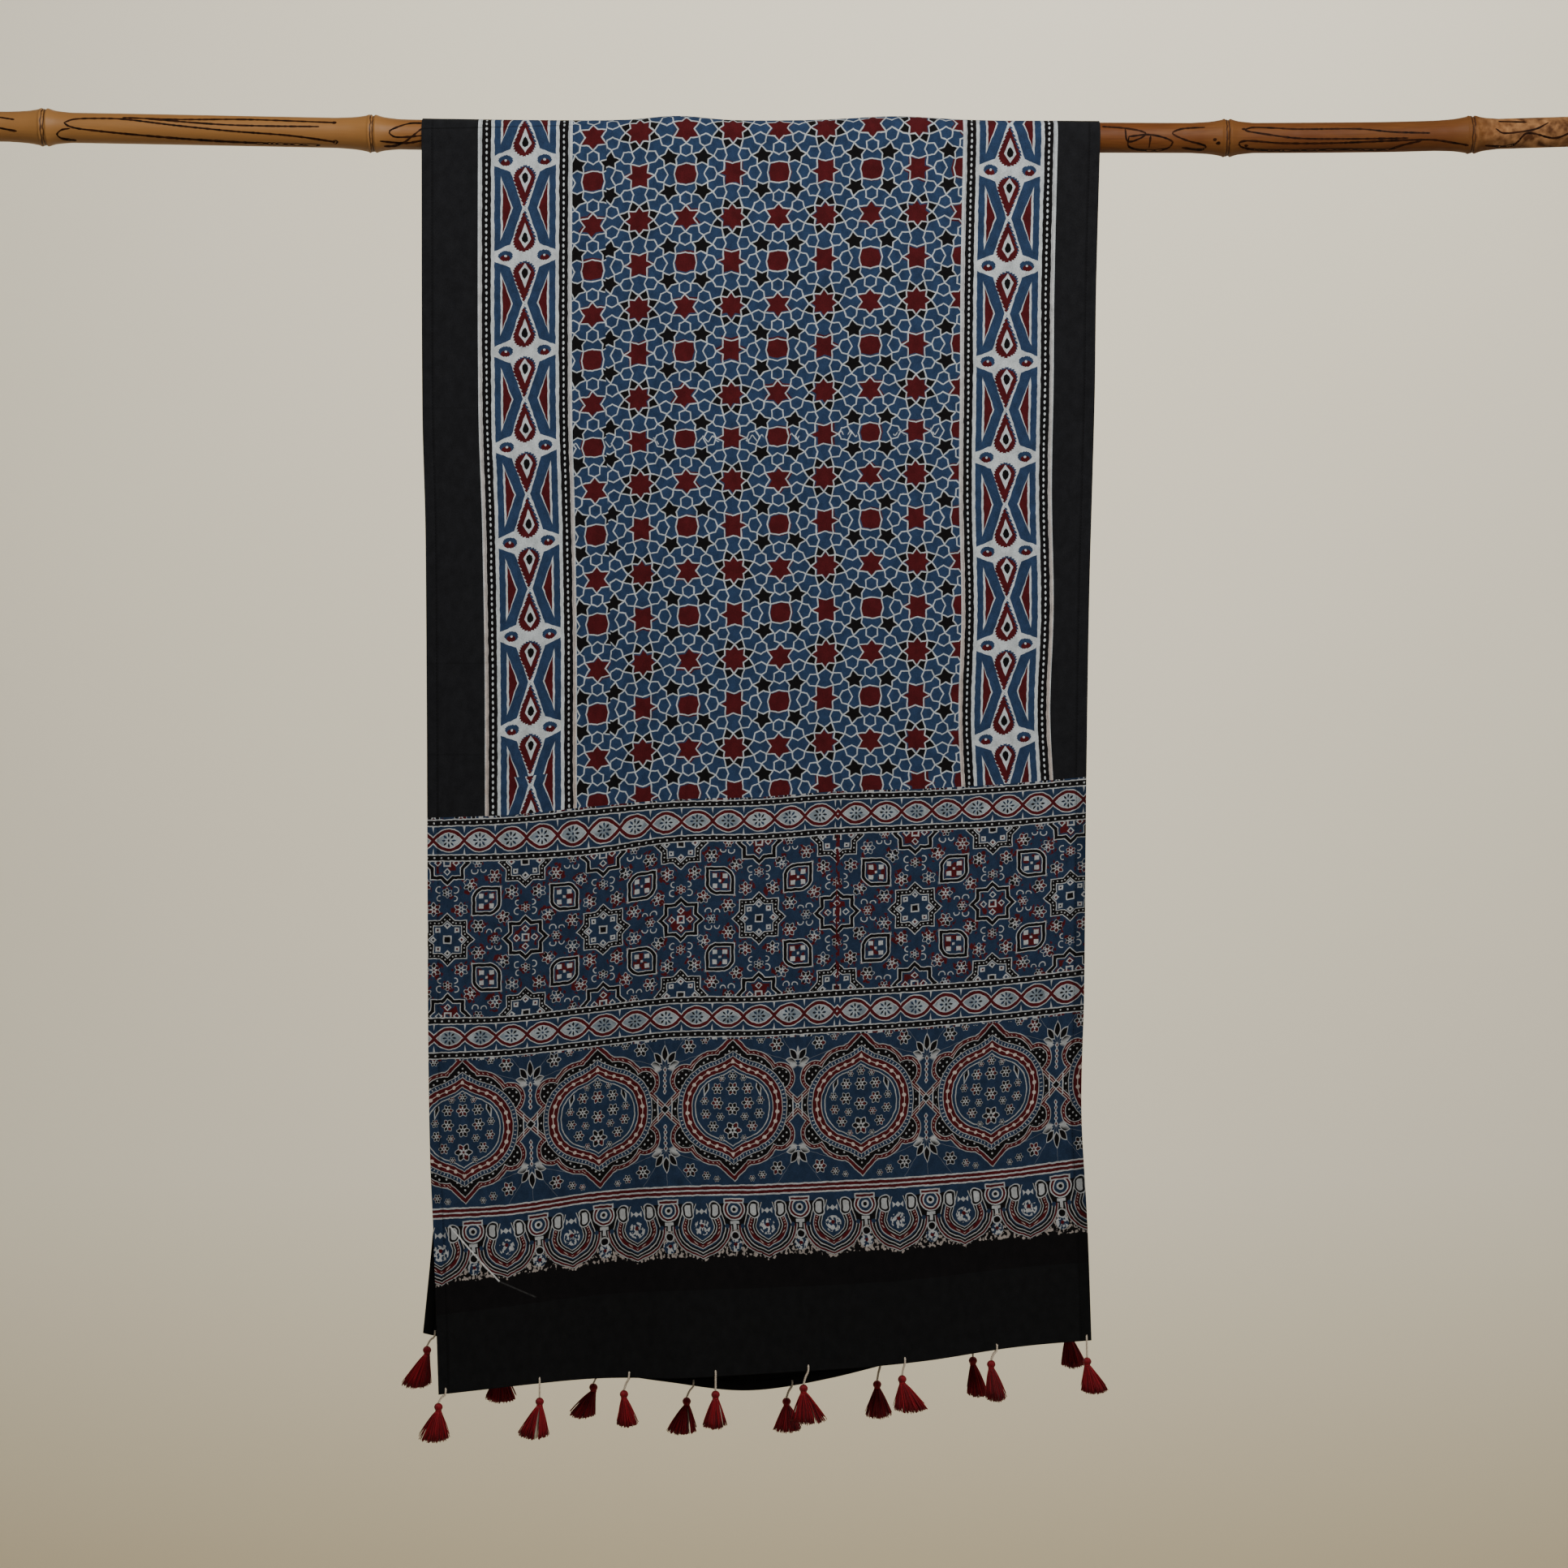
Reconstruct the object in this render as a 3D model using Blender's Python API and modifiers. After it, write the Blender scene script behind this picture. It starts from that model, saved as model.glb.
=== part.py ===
"""Ajrakh stole hung over a bamboo rod, with eight tassels on each end.

Metres, +Z up, +X to the right as seen from the front, -Y to the front.
The origin is on the rod's axis, halfway along the rod.
"""
import math

import bmesh
import bpy
from mathutils import Matrix, Vector

MM = 0.001
GAP = 0.3 * MM

# Bamboo rod
ROD_HALF_LENGTH = 700 * MM
ROD_RADIUS = 12.4 * MM
ROD_STEP = 44 * MM
ROD_LEVEL_END = 12 * MM
ROD_BEVEL_STEPS = 6
NODE_RADIUS = 15.6 * MM
# Along the rod from a node's ring, and the swelling there as a share of the full one
NODE_PROFILE = ((-30, 0.0), (-14, 0.3), (-5, 0.75), (-1.5, 1.0), (0.5, 0.65), (3, 0.95), (9, 0.45),
                (22, 0.0))
NODE_PLACES_MM = (-613, -341, -88, 94, 367, 570)
# Place along the rod and height of its axis, both in mm: it sags a little
ROD_AXIS_MM = ((-700, 9.6), (-513, 6.4), (-379, 3.7), (-245, 0.9), (-111, 0.3), (157, 0.0),
               (358, -0.7), (492, 0.0), (559, 1.7), (700, 6.0))

# Stole
CLOTH_THICKNESS = 1.2 * MM
CLOTH_CLEARANCE = 0.6 * MM
CLOTH_REACH = ROD_RADIUS + CLOTH_CLEARANCE + CLOTH_THICKNESS / 2
ARCH_LENGTH = math.pi * CLOTH_REACH
LAYER_LENGTH = 1021 * MM
CLOTH_COLUMNS = 20
FRONT_ROWS = 24
ARCH_ROWS = 10
BACK_ROWS = 22
# Where a bamboo node lifts the cloth: place along the rod, height, spread, in mm
NODE_LIFTS_MM = ((-88, 3.7, 22), (94, 3.4, 34))
# How far below the rod's axis each line of the weft hangs, in mm, at nine places evenly
# spaced from the left selvage to the right one. The first number is the length of cloth.
FRONT_WEFTS_MM = (
    (0, (0, 0, 0, 0, 0, 0, 0, 0, 0)),
    (552, (570, 567, 560, 554, 552, 547, 545, 541, 535)),
    (714, (733, 731, 723, 715, 714, 709, 705, 700, 692)),
    (871, (892, 888, 878, 872, 871, 868, 864, 859, 850)),
    (1021, (1040, 1033, 1027, 1025, 1022, 1018, 1011, 1002, 996)),
)
BACK_WEFTS_MM = (
    (0, (0, 0, 0, 0, 0, 0, 0, 0, 0)),
    (1021, (995, 1011, 1025, 1036, 1042, 1033, 1017, 1000, 979)),
)
# Length of cloth below the rod, and the selvage's place along X there, both in mm
FRONT_LEFT_MM = ((0, -299.5), (224, -298.6), (320, -296), (566, -294.3), (727, -293.6),
                 (827, -291.8), (894, -288.8), (1021, -284.8))
FRONT_RIGHT_MM = ((0, 261.3), (127, 257.9), (224, 256.6), (399, 252), (566, 249.5),
                  (727, 247.9), (827, 245.6), (921, 250.6), (1021, 253.9))
BACK_LEFT_MM = ((0, -299.5), (399, -294), (727, -290), (900, -290.5), (945, -294),
                (1021, -301.4))
BACK_RIGHT_MM = ((0, 261.3), (1021, 241))
# Soft upright waves: mean swell, then size, waves across the width and phase of each
FRONT_SWELL_MM = 7.0
FRONT_WAVES = ((4.2, 1.2, 0.62), (2.6, 2.7, 0.18))
BACK_SWELL_MM = 5.0
BACK_WAVES = ((3.0, 1.4, 0.10), (2.0, 2.4, 0.55))

# Tassels
HOLE_ABOVE_HEM = 4.5 * MM
HOLE_RADIUS = 1.5 * MM
HOLE_SIDES = 8
CORD_RADIUS = 0.75 * MM
CORD_BEVEL_STEPS = 1
LEG_OFFSET = 1.8 * MM
TASSEL_GRID = 5
HEAD_BELOW = 3.0 * MM
# Height above the head's underside and radius there, in mm
HEAD_RINGS_MM = ((0, 3.4), (3.0, 3.6), (6.2, 1.5))
SKIRT_HALF_DEPTH = 6.0 * MM
LOCK_WIDENING = (2.1, 1.35)
# Hole's place along X, sideways shift of the head, drop from hole to head, reach of the skirt
# to the left and to the right of the head, drop from head to the skirt's end, all in mm
FRONT_TASSELS_MM = (
    (-278.7, -6.1, 15.2, -17.4, 9.4, 27.5),
    (-201.7, 0.0, 19.4, -18.7, 8.7, 29.5),
    (-127.3, -4.7, 18.1, -6.7, 12.0, 25.5),
    (-56.3, 0.0, 19.4, -11.4, 9.4, 26.8),
    (20.1, -4.0, 18.8, -12.0, 19.4, 28.1),
    (99.5, -2.3, 17.4, -8.0, 21.4, 26.1),
    (175.5, -4.7, 16.1, -5.5, 13.4, 29.5),
    (249.9, 0.3, 21.4, -6.0, 17.8, 25.1),
)
BACK_TASSELS_MM = (
    (-291.2, -6.8, 16.3, -22.3, 3.5, 30.5),
    (-236.4, 0.0, 18.0, -14.0, 14.0, 28.0),
    (-151.7, -7.5, 17.6, -21.0, 1.5, 24.4),
    (-75.2, -6.1, 17.6, -17.6, 9.0, 26.4),
    (6.8, -4.7, 17.6, -12.2, 13.5, 24.4),
    (80.6, -2.7, 20.0, -10.8, 12.9, 27.1),
    (157.1, 0.7, 18.3, -5.5, 13.0, 29.0),
    (237.0, 0.0, 18.0, -6.5, 14.9, 28.5),
)


def clear_scene():
    for obj in list(bpy.data.objects):
        bpy.data.objects.remove(obj, do_unlink=True)


def new_collection(name):
    group = bpy.data.collections.new(name)
    bpy.context.scene.collection.children.link(group)
    return group


def new_material(name, colour, roughness):
    mat = bpy.data.materials.new(name)
    mat.use_nodes = True
    shader = mat.node_tree.nodes["Principled BSDF"]
    shader.inputs["Base Color"].default_value = (*colour, 1.0)
    shader.inputs["Roughness"].default_value = roughness
    shader.inputs["Metallic"].default_value = 0.0
    return mat


def curve_through(rows, place):
    """Smooth value at a place, from rows of (place, value) in rising order."""
    last = len(rows) - 2
    i = max(k for k in range(last + 1) if k == 0 or rows[k][0] <= place)
    (x0, y0), (x1, y1) = rows[i], rows[i + 1]
    before = rows[max(i - 1, 0)]
    after = rows[min(i + 2, last + 1)]
    slope_0 = (y1 - before[1]) / (x1 - before[0])
    slope_1 = (after[1] - y0) / (after[0] - x0)
    width = x1 - x0
    t = min(max((place - x0) / width, 0.0), 1.0)
    h00 = (1 + 2 * t) * (1 - t) ** 2
    h10 = t * (1 - t) ** 2
    h01 = t * t * (3 - 2 * t)
    h11 = t * t * (t - 1)
    return h00 * y0 + h10 * width * slope_0 + h01 * y1 + h11 * width * slope_1


def rod_height(x):
    return curve_through(ROD_AXIS_MM, x / MM) * MM


def cloth_reach(x):
    """Distance from the rod's axis to the middle of the cloth's thickness."""
    lift = sum(height * math.exp(-((x / MM - place) / spread) ** 2 / 2)
               for place, height, spread in NODE_LIFTS_MM)
    return CLOTH_REACH + lift * MM


def weft_drop(wefts, across, length):
    """Drop below the rod's axis, at a share of the width and a length of cloth."""
    column = []
    for station, drops in wefts:
        places = [(k / (len(drops) - 1), drop) for k, drop in enumerate(drops)]
        column.append((station, curve_through(places, across)))
    return curve_through(column, length / MM) * MM


def layer_point(across, length, front):
    """Point on one hanging layer of the cloth."""
    wefts = FRONT_WEFTS_MM if front else BACK_WEFTS_MM
    left_edge = FRONT_LEFT_MM if front else BACK_LEFT_MM
    right_edge = FRONT_RIGHT_MM if front else BACK_RIGHT_MM
    waves = FRONT_WAVES if front else BACK_WAVES
    swell = FRONT_SWELL_MM if front else BACK_SWELL_MM
    left = curve_through(left_edge, length / MM)
    right = curve_through(right_edge, length / MM)
    x = (left + (right - left) * across) * MM
    share = length / LAYER_LENGTH
    for size, count, phase in waves:
        swell += size * math.sin(2 * math.pi * (count * across + phase))
    depth = cloth_reach(x) + swell * MM * share ** 1.2
    z = rod_height(x) * (1 - share) - weft_drop(wefts, across, length)
    return Vector((x, -depth if front else depth, z))


def cloth_point(across, length):
    """Point on the cloth: length runs up the front as positive and down the back."""
    if length >= 0:
        return layer_point(across, length, True)
    if length <= -ARCH_LENGTH:
        return layer_point(across, -ARCH_LENGTH - length, False)
    top = layer_point(across, 0, True)
    reach = cloth_reach(top.x)
    angle = -length / CLOTH_REACH
    return Vector((top.x, -reach * math.cos(angle), rod_height(top.x) + reach * math.sin(angle)))


def cloth_stations():
    """Lengths of cloth at the rows of the mesh, from the front hem to the back hem."""
    front = [LAYER_LENGTH * (1 - k / FRONT_ROWS) for k in range(FRONT_ROWS)]
    arch = [-ARCH_LENGTH * k / ARCH_ROWS for k in range(ARCH_ROWS)]
    back = [-ARCH_LENGTH - LAYER_LENGTH * k / BACK_ROWS for k in range(BACK_ROWS + 1)]
    return front + arch + back


def new_object(name, data, group, mat):
    obj = bpy.data.objects.new(name, data)
    group.objects.link(obj)
    data.materials.append(mat)
    return obj


def make_rod(group, mat):
    """Bamboo pole: a bevelled curve, swollen at its nodes, cut square at both ends."""
    places = {-ROD_HALF_LENGTH, ROD_HALF_LENGTH}
    places |= {-ROD_HALF_LENGTH + ROD_LEVEL_END, ROD_HALF_LENGTH - ROD_LEVEL_END}
    for node in NODE_PLACES_MM:
        places |= {(node + offset) * MM for offset, _ in NODE_PROFILE}
    spans = round(2 * ROD_HALF_LENGTH / ROD_STEP)
    for k in range(1, spans):
        place = -ROD_HALF_LENGTH + k * 2 * ROD_HALF_LENGTH / spans
        if min(abs(place - other) for other in places) > ROD_STEP / 3:
            places.add(place)
    curve = bpy.data.curves.new("bamboo_rod", "CURVE")
    curve.dimensions = "3D"
    curve.bevel_depth = ROD_RADIUS
    curve.bevel_resolution = ROD_BEVEL_STEPS
    curve.use_fill_caps = True
    line = curve.splines.new("POLY")
    line.points.add(len(places) - 1)
    level = ROD_HALF_LENGTH - ROD_LEVEL_END
    for point, x in zip(line.points, sorted(places)):
        point.co = (x, 0, rod_height(min(max(x, -level), level)), 1)
        swelling = 0.0
        for node in NODE_PLACES_MM:
            offset = x / MM - node
            if NODE_PROFILE[0][0] < offset < NODE_PROFILE[-1][0]:
                swelling = max(swelling, curve_through(NODE_PROFILE, offset))
        point.radius = 1 + swelling * (NODE_RADIUS / ROD_RADIUS - 1)
    return new_object("bamboo_rod", curve, group, mat)


def make_cloth(group, mat):
    """Stole: one sheet draped over the rod, with a small hole in its hem for each tassel."""
    stations = cloth_stations()
    bm = bmesh.new()
    bmesh.ops.create_grid(bm, x_segments=CLOTH_COLUMNS, y_segments=len(stations) - 1, size=0.5)
    for vert in bm.verts:
        row = round((vert.co.y + 0.5) * (len(stations) - 1))
        vert.co = cloth_point(vert.co.x + 0.5, stations[row])
    mesh = bpy.data.meshes.new("ajrakh_cloth")
    bm.to_mesh(mesh)
    bm.free()
    mesh.shade_smooth()
    cloth = new_object("ajrakh_cloth", mesh, group, mat)
    thick = cloth.modifiers.new("thickness", "SOLIDIFY")
    thick.thickness = CLOTH_THICKNESS
    thick.offset = 0
    return cloth


def hole_frame(x, front):
    """Centre of a hem hole and the turn about Z that sets it square to the cloth."""
    length = LAYER_LENGTH - HOLE_ABOVE_HEM
    left = layer_point(0, length, front).x
    right = layer_point(1, length, front).x
    across = (x - left) / (right - left)
    centre = layer_point(across, length, front)
    step = 0.5 / CLOTH_COLUMNS
    run = layer_point(across + step, length, front) - layer_point(across - step, length, front)
    return Matrix.Translation(centre) @ Matrix.Rotation(math.atan2(run.y, run.x), 4, "Z")


def make_hole_cutter(frames, cloth, group):
    """One cutter of short cylinders, taken out of the cloth."""
    bm = bmesh.new()
    across_cloth = Matrix.Rotation(math.pi / 2, 4, "X")
    for frame in frames:
        bmesh.ops.create_cone(bm, cap_ends=True, segments=HOLE_SIDES, radius1=HOLE_RADIUS,
                              radius2=HOLE_RADIUS, depth=8 * CLOTH_THICKNESS,
                              matrix=frame @ across_cloth)
    mesh = bpy.data.meshes.new("hem_holes")
    bm.to_mesh(mesh)
    bm.free()
    cutter = bpy.data.objects.new("hem_holes", mesh)
    group.objects.link(cutter)
    cutter.hide_render = True
    cutter.display_type = "WIRE"
    cut = cloth.modifiers.new("hem holes", "BOOLEAN")
    cut.operation = "DIFFERENCE"
    cut.object = cutter


def make_cord(name, frame, head_shift, head_drop, group, mat):
    """Cord loop through the hem: two legs that end on top of the tassel's head."""
    head_top = head_drop - (HEAD_RINGS_MM[-1][0] * MM - HEAD_BELOW) - GAP
    leg = (
        (head_shift, 1.0 * MM, -head_top),
        (head_shift * 0.6, 1.4 * MM, -head_top * 0.62),
        (head_shift * 0.12, LEG_OFFSET, -5.2 * MM),
        (0, LEG_OFFSET, -1.5 * MM),
        (0, 1.3 * MM, -0.3 * MM),
    )
    front_leg = [(x, -y, z) for x, y, z in leg]
    back_leg = [(x, y, z) for x, y, z in reversed(leg)]
    points = front_leg + [(0, 0, 0.1 * MM)] + back_leg
    curve = bpy.data.curves.new(name, "CURVE")
    curve.dimensions = "3D"
    curve.bevel_depth = CORD_RADIUS
    curve.bevel_resolution = CORD_BEVEL_STEPS
    curve.use_fill_caps = True
    line = curve.splines.new("POLY")
    line.points.add(len(points) - 1)
    for point, place in zip(line.points, points):
        point.co = (*place, 1)
    cord = new_object(name, curve, group, mat)
    cord.matrix_world = frame
    return cord


def disc_from_square(x, y):
    """Moves a point of the square from -1 to 1 into the unit disc."""
    return Vector((x * math.sqrt(1 - y * y / 2), y * math.sqrt(1 - x * x / 2), 0))


def make_tassel(name, frame, row_mm, group, mat):
    """Tassel: a bound head, with every other cell of its underside drawn down into a lock."""
    _, head_shift, head_drop, reach_left, reach_right, skirt_drop = (v * MM for v in row_mm)
    bm = bmesh.new()
    bmesh.ops.create_grid(bm, x_segments=TASSEL_GRID, y_segments=TASSEL_GRID, size=1)
    cells = [(face, face.calc_center_median()) for face in bm.faces]
    locks = {}
    for face, centre in cells:
        column, row = (round((c + 1) * TASSEL_GRID / 2 - 0.5) for c in centre.xy)
        if (column + row) % 2 == 0:
            locks[face] = centre
    rim = [edge for edge in bm.edges if edge.is_boundary]
    base_radius = HEAD_RINGS_MM[0][1] * MM
    for vert in bm.verts:
        vert.co = disc_from_square(vert.co.x, vert.co.y) * base_radius
    radius = base_radius
    for height, ring_radius in HEAD_RINGS_MM[1:]:
        ring = bmesh.ops.extrude_edge_only(bm, edges=rim)["geom"]
        rim = [item for item in ring if isinstance(item, bmesh.types.BMEdge)]
        for vert in [item for item in ring if isinstance(item, bmesh.types.BMVert)]:
            vert.co.xy *= ring_radius * MM / radius
            vert.co.z = height * MM
        radius = ring_radius * MM
    bmesh.ops.contextual_create(bm, geom=rim)
    drop = skirt_drop - HEAD_BELOW
    middle = (reach_left + reach_right) / 2
    half_width = (reach_right - reach_left) / 2
    tips = {}
    for face, centre in locks.items():
        ragged = 1 - 0.08 * abs(math.sin(5 * centre.x + 3 * centre.y + 100 * head_shift))
        lift = 1 - 0.10 * centre.x ** 2
        tips[face] = Vector((middle + half_width * centre.x, SKIRT_HALF_DEPTH * centre.y,
                             -drop * ragged * lift))
    for face, tip in tips.items():
        pulled = bmesh.ops.extrude_discrete_faces(bm, faces=[face])["faces"][0]
        root = pulled.calc_center_median()
        for vert in pulled.verts:
            offset = vert.co - root
            vert.co = tip + Vector((offset.x * LOCK_WIDENING[0], offset.y * LOCK_WIDENING[1], 0))
    bmesh.ops.recalc_face_normals(bm, faces=bm.faces)
    bmesh.ops.translate(bm, verts=bm.verts, vec=(head_shift, 0, -head_drop - HEAD_BELOW))
    mesh = bpy.data.meshes.new(name)
    bm.to_mesh(mesh)
    bm.free()
    tassel = new_object(name, mesh, group, mat)
    tassel.matrix_world = frame
    return tassel


def main():
    clear_scene()
    parts = new_collection("ajrakh cloth on bamboo rod")
    cutters = new_collection("cutters")
    bamboo = new_material("bamboo", (0.30, 0.13, 0.045), 0.35)
    cotton = new_material("printed cotton", (0.035, 0.075, 0.16), 0.85)
    maroon = new_material("maroon thread", (0.10, 0.005, 0.012), 0.7)
    cream = new_material("cream cord", (0.62, 0.48, 0.34), 0.8)
    make_rod(parts, bamboo)
    cloth = make_cloth(parts, cotton)
    frames = []
    for side, front, rows in (("front", True, FRONT_TASSELS_MM), ("back", False, BACK_TASSELS_MM)):
        for number, row in enumerate(rows, start=1):
            frame = hole_frame(row[0] * MM, front)
            frames.append(frame)
            make_cord(f"tassel_cord_{side}_{number}", frame, row[1] * MM, row[2] * MM, parts, cream)
            make_tassel(f"tassel_{side}_{number}", frame, row, parts, maroon)
    make_hole_cutter(frames, cloth, cutters)


main()
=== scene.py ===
"""Looks of the ajrakh stole on its bamboo rod: printed cotton, tassels, cords and bamboo.

Metres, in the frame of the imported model: +Z up, -Y to the front, origin on the rod's axis.
Names that end in _MM hold millimetres. The print is drawn by shader nodes in the cloth's
own millimetres, which the mesh carries as the attribute print_place.
"""
import math
import random

import bmesh
import bpy
from mathutils import Matrix, Vector, noise


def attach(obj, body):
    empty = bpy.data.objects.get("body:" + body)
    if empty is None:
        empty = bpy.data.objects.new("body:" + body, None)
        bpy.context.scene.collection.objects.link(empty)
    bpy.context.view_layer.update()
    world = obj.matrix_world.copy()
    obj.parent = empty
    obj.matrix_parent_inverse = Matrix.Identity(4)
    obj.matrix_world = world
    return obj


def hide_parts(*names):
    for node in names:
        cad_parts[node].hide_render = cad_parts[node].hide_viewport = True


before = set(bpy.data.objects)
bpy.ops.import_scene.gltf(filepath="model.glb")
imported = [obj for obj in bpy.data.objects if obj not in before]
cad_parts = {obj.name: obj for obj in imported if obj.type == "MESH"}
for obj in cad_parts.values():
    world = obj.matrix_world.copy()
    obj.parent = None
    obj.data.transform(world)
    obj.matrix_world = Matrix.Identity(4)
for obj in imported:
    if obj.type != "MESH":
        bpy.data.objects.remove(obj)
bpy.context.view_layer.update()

MM = 0.001

# Rod, as in the solids
ROD_HALF_LENGTH = 700 * MM
ROD_RADIUS = 12.4 * MM
NODE_RADIUS = 15.6 * MM
# Along the rod from a node's ring, and the swelling there as a share of the full one
NODE_PROFILE = ((-30, 0.0), (-14, 0.3), (-5, 0.75), (-1.5, 1.0), (0.5, 0.65), (3, 0.95), (9, 0.45),
                (22, 0.0))
NODE_PLACES_MM = (-613, -341, -88, 94, 367, 570)
# Place along the rod and height of its axis: it sags a little
ROD_AXIS_MM = ((-700, 9.6), (-513, 6.4), (-379, 3.7), (-245, 0.9), (-111, 0.3), (157, 0.0),
               (358, -0.7), (492, 0.0), (559, 1.7), (700, 6.0))

# Cloth, as in the solids, with more lines of the print in the front's table
CLOTH_REACH = 13.6 * MM
ARCH_LENGTH = math.pi * CLOTH_REACH
LAYER_LENGTH = 1021 * MM
# Where a bamboo node lifts the cloth: place along the rod, height, spread
NODE_LIFTS_MM = ((-88, 3.7, 22), (94, 3.4, 34))
# Length of cloth from the rod's axis, and how low that weft hangs, from left to right
FRONT_WEFTS_MM = (
    (0, (0, 0, 0, 0, 0, 0, 0, 0, 0)),
    (552, (570, 567, 560, 554, 552, 547, 545, 541, 535)),
    (580, (598.6, 597.1, 592.2, 582.2, 580.4, 575.3, 572.5, 569.1, 562.8)),
    (714, (733, 731, 723, 715, 714, 709, 705, 700, 692)),
    (742, (761.7, 758.4, 751, 743, 742, 738.6, 734.3, 728.6, 721)),
    (871, (892, 888, 878, 872, 871, 868, 864, 859, 850)),
    (928, (951.4, 943.6, 934.3, 928.6, 927.2, 924.6, 919.9, 913.8, 908.5)),
    (1021, (1040, 1033, 1027, 1025, 1022, 1018, 1011, 1002, 996)),
)
# Lengths of cloth at which the solids' own table has a line of the weft
SOLID_STATIONS_MM = (0, 552, 714, 871, 1021)
BACK_WEFTS_MM = (
    (0, (0, 0, 0, 0, 0, 0, 0, 0, 0)),
    (1021, (995, 1011, 1025, 1036, 1042, 1033, 1017, 1000, 979)),
)
# Edges of the two layers: length of cloth, and place along X
FRONT_LEFT_MM = ((0, -299.5), (224, -298.6), (320, -296), (566, -294.3), (727, -293.6),
                 (827, -291.8), (894, -288.8), (1021, -284.8))
FRONT_RIGHT_MM = ((0, 261.3), (127, 257.9), (224, 256.6), (399, 252), (566, 249.5),
                  (727, 247.9), (827, 245.6), (921, 250.6), (1021, 253.9))
BACK_LEFT_MM = ((0, -299.5), (399, -294), (727, -290), (900, -290.5), (945, -294),
                (1021, -301.4))
BACK_RIGHT_MM = ((0, 261.3), (1021, 241))
# How far a layer stands off at its hem: all over, and in waves of (size, count, phase)
FRONT_SWELL_MM = 7.0
FRONT_WAVES = ((4.2, 1.2, 0.62), (2.6, 2.7, 0.18))
BACK_SWELL_MM = 5.0
BACK_WAVES = ((3.0, 1.4, 0.10), (2.0, 2.4, 0.55))
HOLE_ABOVE_HEM = 4.5 * MM
CLOTH_WIDTH_MM = 560

# Mesh of the cloth
HEM_WIDTH_MM = 8.4
# Distance from the edge and depth behind the face, along a turned hem from inside to face
HEM_TURN_MM = ((8.0, 0.6), (7.4, 0.95), (4.0, 1.0), (0.8, 0.95), (0.1, 0.8), (0.0, 0.5),
               (0.1, 0.2), (0.8, 0.02), (2.5, 0.0), (5.5, 0.0), (7.3, 0.03), (8.0, 0.3),
               (8.7, 0.36), (10.5, 0.4))
SEAM_ANGLE = math.radians(112)
ROW_STEP_MM = 5.0
ARCH_STEP = math.radians(9)
MARGIN_COLUMNS = 7
BORDER_COLUMNS = 16
FIELD_COLUMNS = 70

# Print: centre of each side border, from the left edge, along the cloth
LEFT_BORDER_MM = ((-1100, 88), (0, 85.7), (215, 85.7), (300, 86.5), (420, 88), (552, 88))
RIGHT_BORDER_MM = ((-1100, 486), (0, 486), (215, 486.5), (300, 487), (400, 491), (490, 489.5),
                   (552, 493))
BORDER_HALF_MM = 39.0
BORDER_SPACING_MM = 400.0
FIELD_END_MM = 547.5
# How the rows of the print run out of true: slope, sag to the left of a place, and the length
# of cloth over which both die away
DRIFT_SLOPE = 0.025
DRIFT_SAG = 0.00009
SAG_FROM_MM = 290.0
DRIFT_END_MM = 552


def curve_through(rows, place):
    """Smooth value at a place, from rows of (place, value) in rising order."""
    last = len(rows) - 2
    i = max(k for k in range(last + 1) if k == 0 or rows[k][0] <= place)
    (x0, y0), (x1, y1) = rows[i], rows[i + 1]
    before = rows[max(i - 1, 0)]
    after = rows[min(i + 2, last + 1)]
    slope_0 = (y1 - before[1]) / (x1 - before[0])
    slope_1 = (after[1] - y0) / (after[0] - x0)
    width = x1 - x0
    t = min(max((place - x0) / width, 0.0), 1.0)
    h00 = (1 + 2 * t) * (1 - t) ** 2
    h10 = t * (1 - t) ** 2
    h01 = t * t * (3 - 2 * t)
    h11 = t * t * (t - 1)
    return h00 * y0 + h10 * width * slope_0 + h01 * y1 + h11 * width * slope_1


def spread(first, last, step):
    """Evenly spaced numbers from first to last, about a step apart, without the last."""
    count = max(1, round(abs(last - first) / step))
    return [first + (last - first) * k / count for k in range(count)]


# Shapes of the cloth


def rod_height(x):
    return curve_through(ROD_AXIS_MM, x / MM) * MM


def cloth_reach(x):
    lift = sum(height * math.exp(-((x / MM - place) / width) ** 2 / 2)
               for place, height, width in NODE_LIFTS_MM)
    return CLOTH_REACH + lift * MM


def weft_drop(wefts, across, length):
    column = []
    for station, drops in wefts:
        places = [(k / (len(drops) - 1), drop) for k, drop in enumerate(drops)]
        column.append((station, curve_through(places, across)))
    return curve_through(column, length / MM) * MM


def layer_point(across, length, front, front_wefts=FRONT_WEFTS_MM):
    wefts = front_wefts if front else BACK_WEFTS_MM
    left_edge = FRONT_LEFT_MM if front else BACK_LEFT_MM
    right_edge = FRONT_RIGHT_MM if front else BACK_RIGHT_MM
    waves = FRONT_WAVES if front else BACK_WAVES
    swell = FRONT_SWELL_MM if front else BACK_SWELL_MM
    left = curve_through(left_edge, length / MM)
    right = curve_through(right_edge, length / MM)
    x = (left + (right - left) * across) * MM
    share = length / LAYER_LENGTH
    for size, count, phase in waves:
        swell += size * math.sin(2 * math.pi * (count * across + phase))
    depth = cloth_reach(x) + swell * MM * share ** 1.2
    z = rod_height(x) * (1 - share) - weft_drop(wefts, across, length)
    return Vector((x, -depth if front else depth, z))


def cloth_frame(across, length):
    """Point on the cloth and the way that its face looks there."""
    if length >= 0:
        return layer_point(across, length, True), Vector((0, -1, 0))
    if length <= -ARCH_LENGTH:
        return layer_point(across, -ARCH_LENGTH - length, False), Vector((0, 1, 0))
    top = layer_point(across, 0, True)
    reach = cloth_reach(top.x)
    angle = -length / CLOTH_REACH
    out = Vector((0, -math.cos(angle), math.sin(angle)))
    return Vector((top.x, 0, rod_height(top.x))) + out * reach, out


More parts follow.
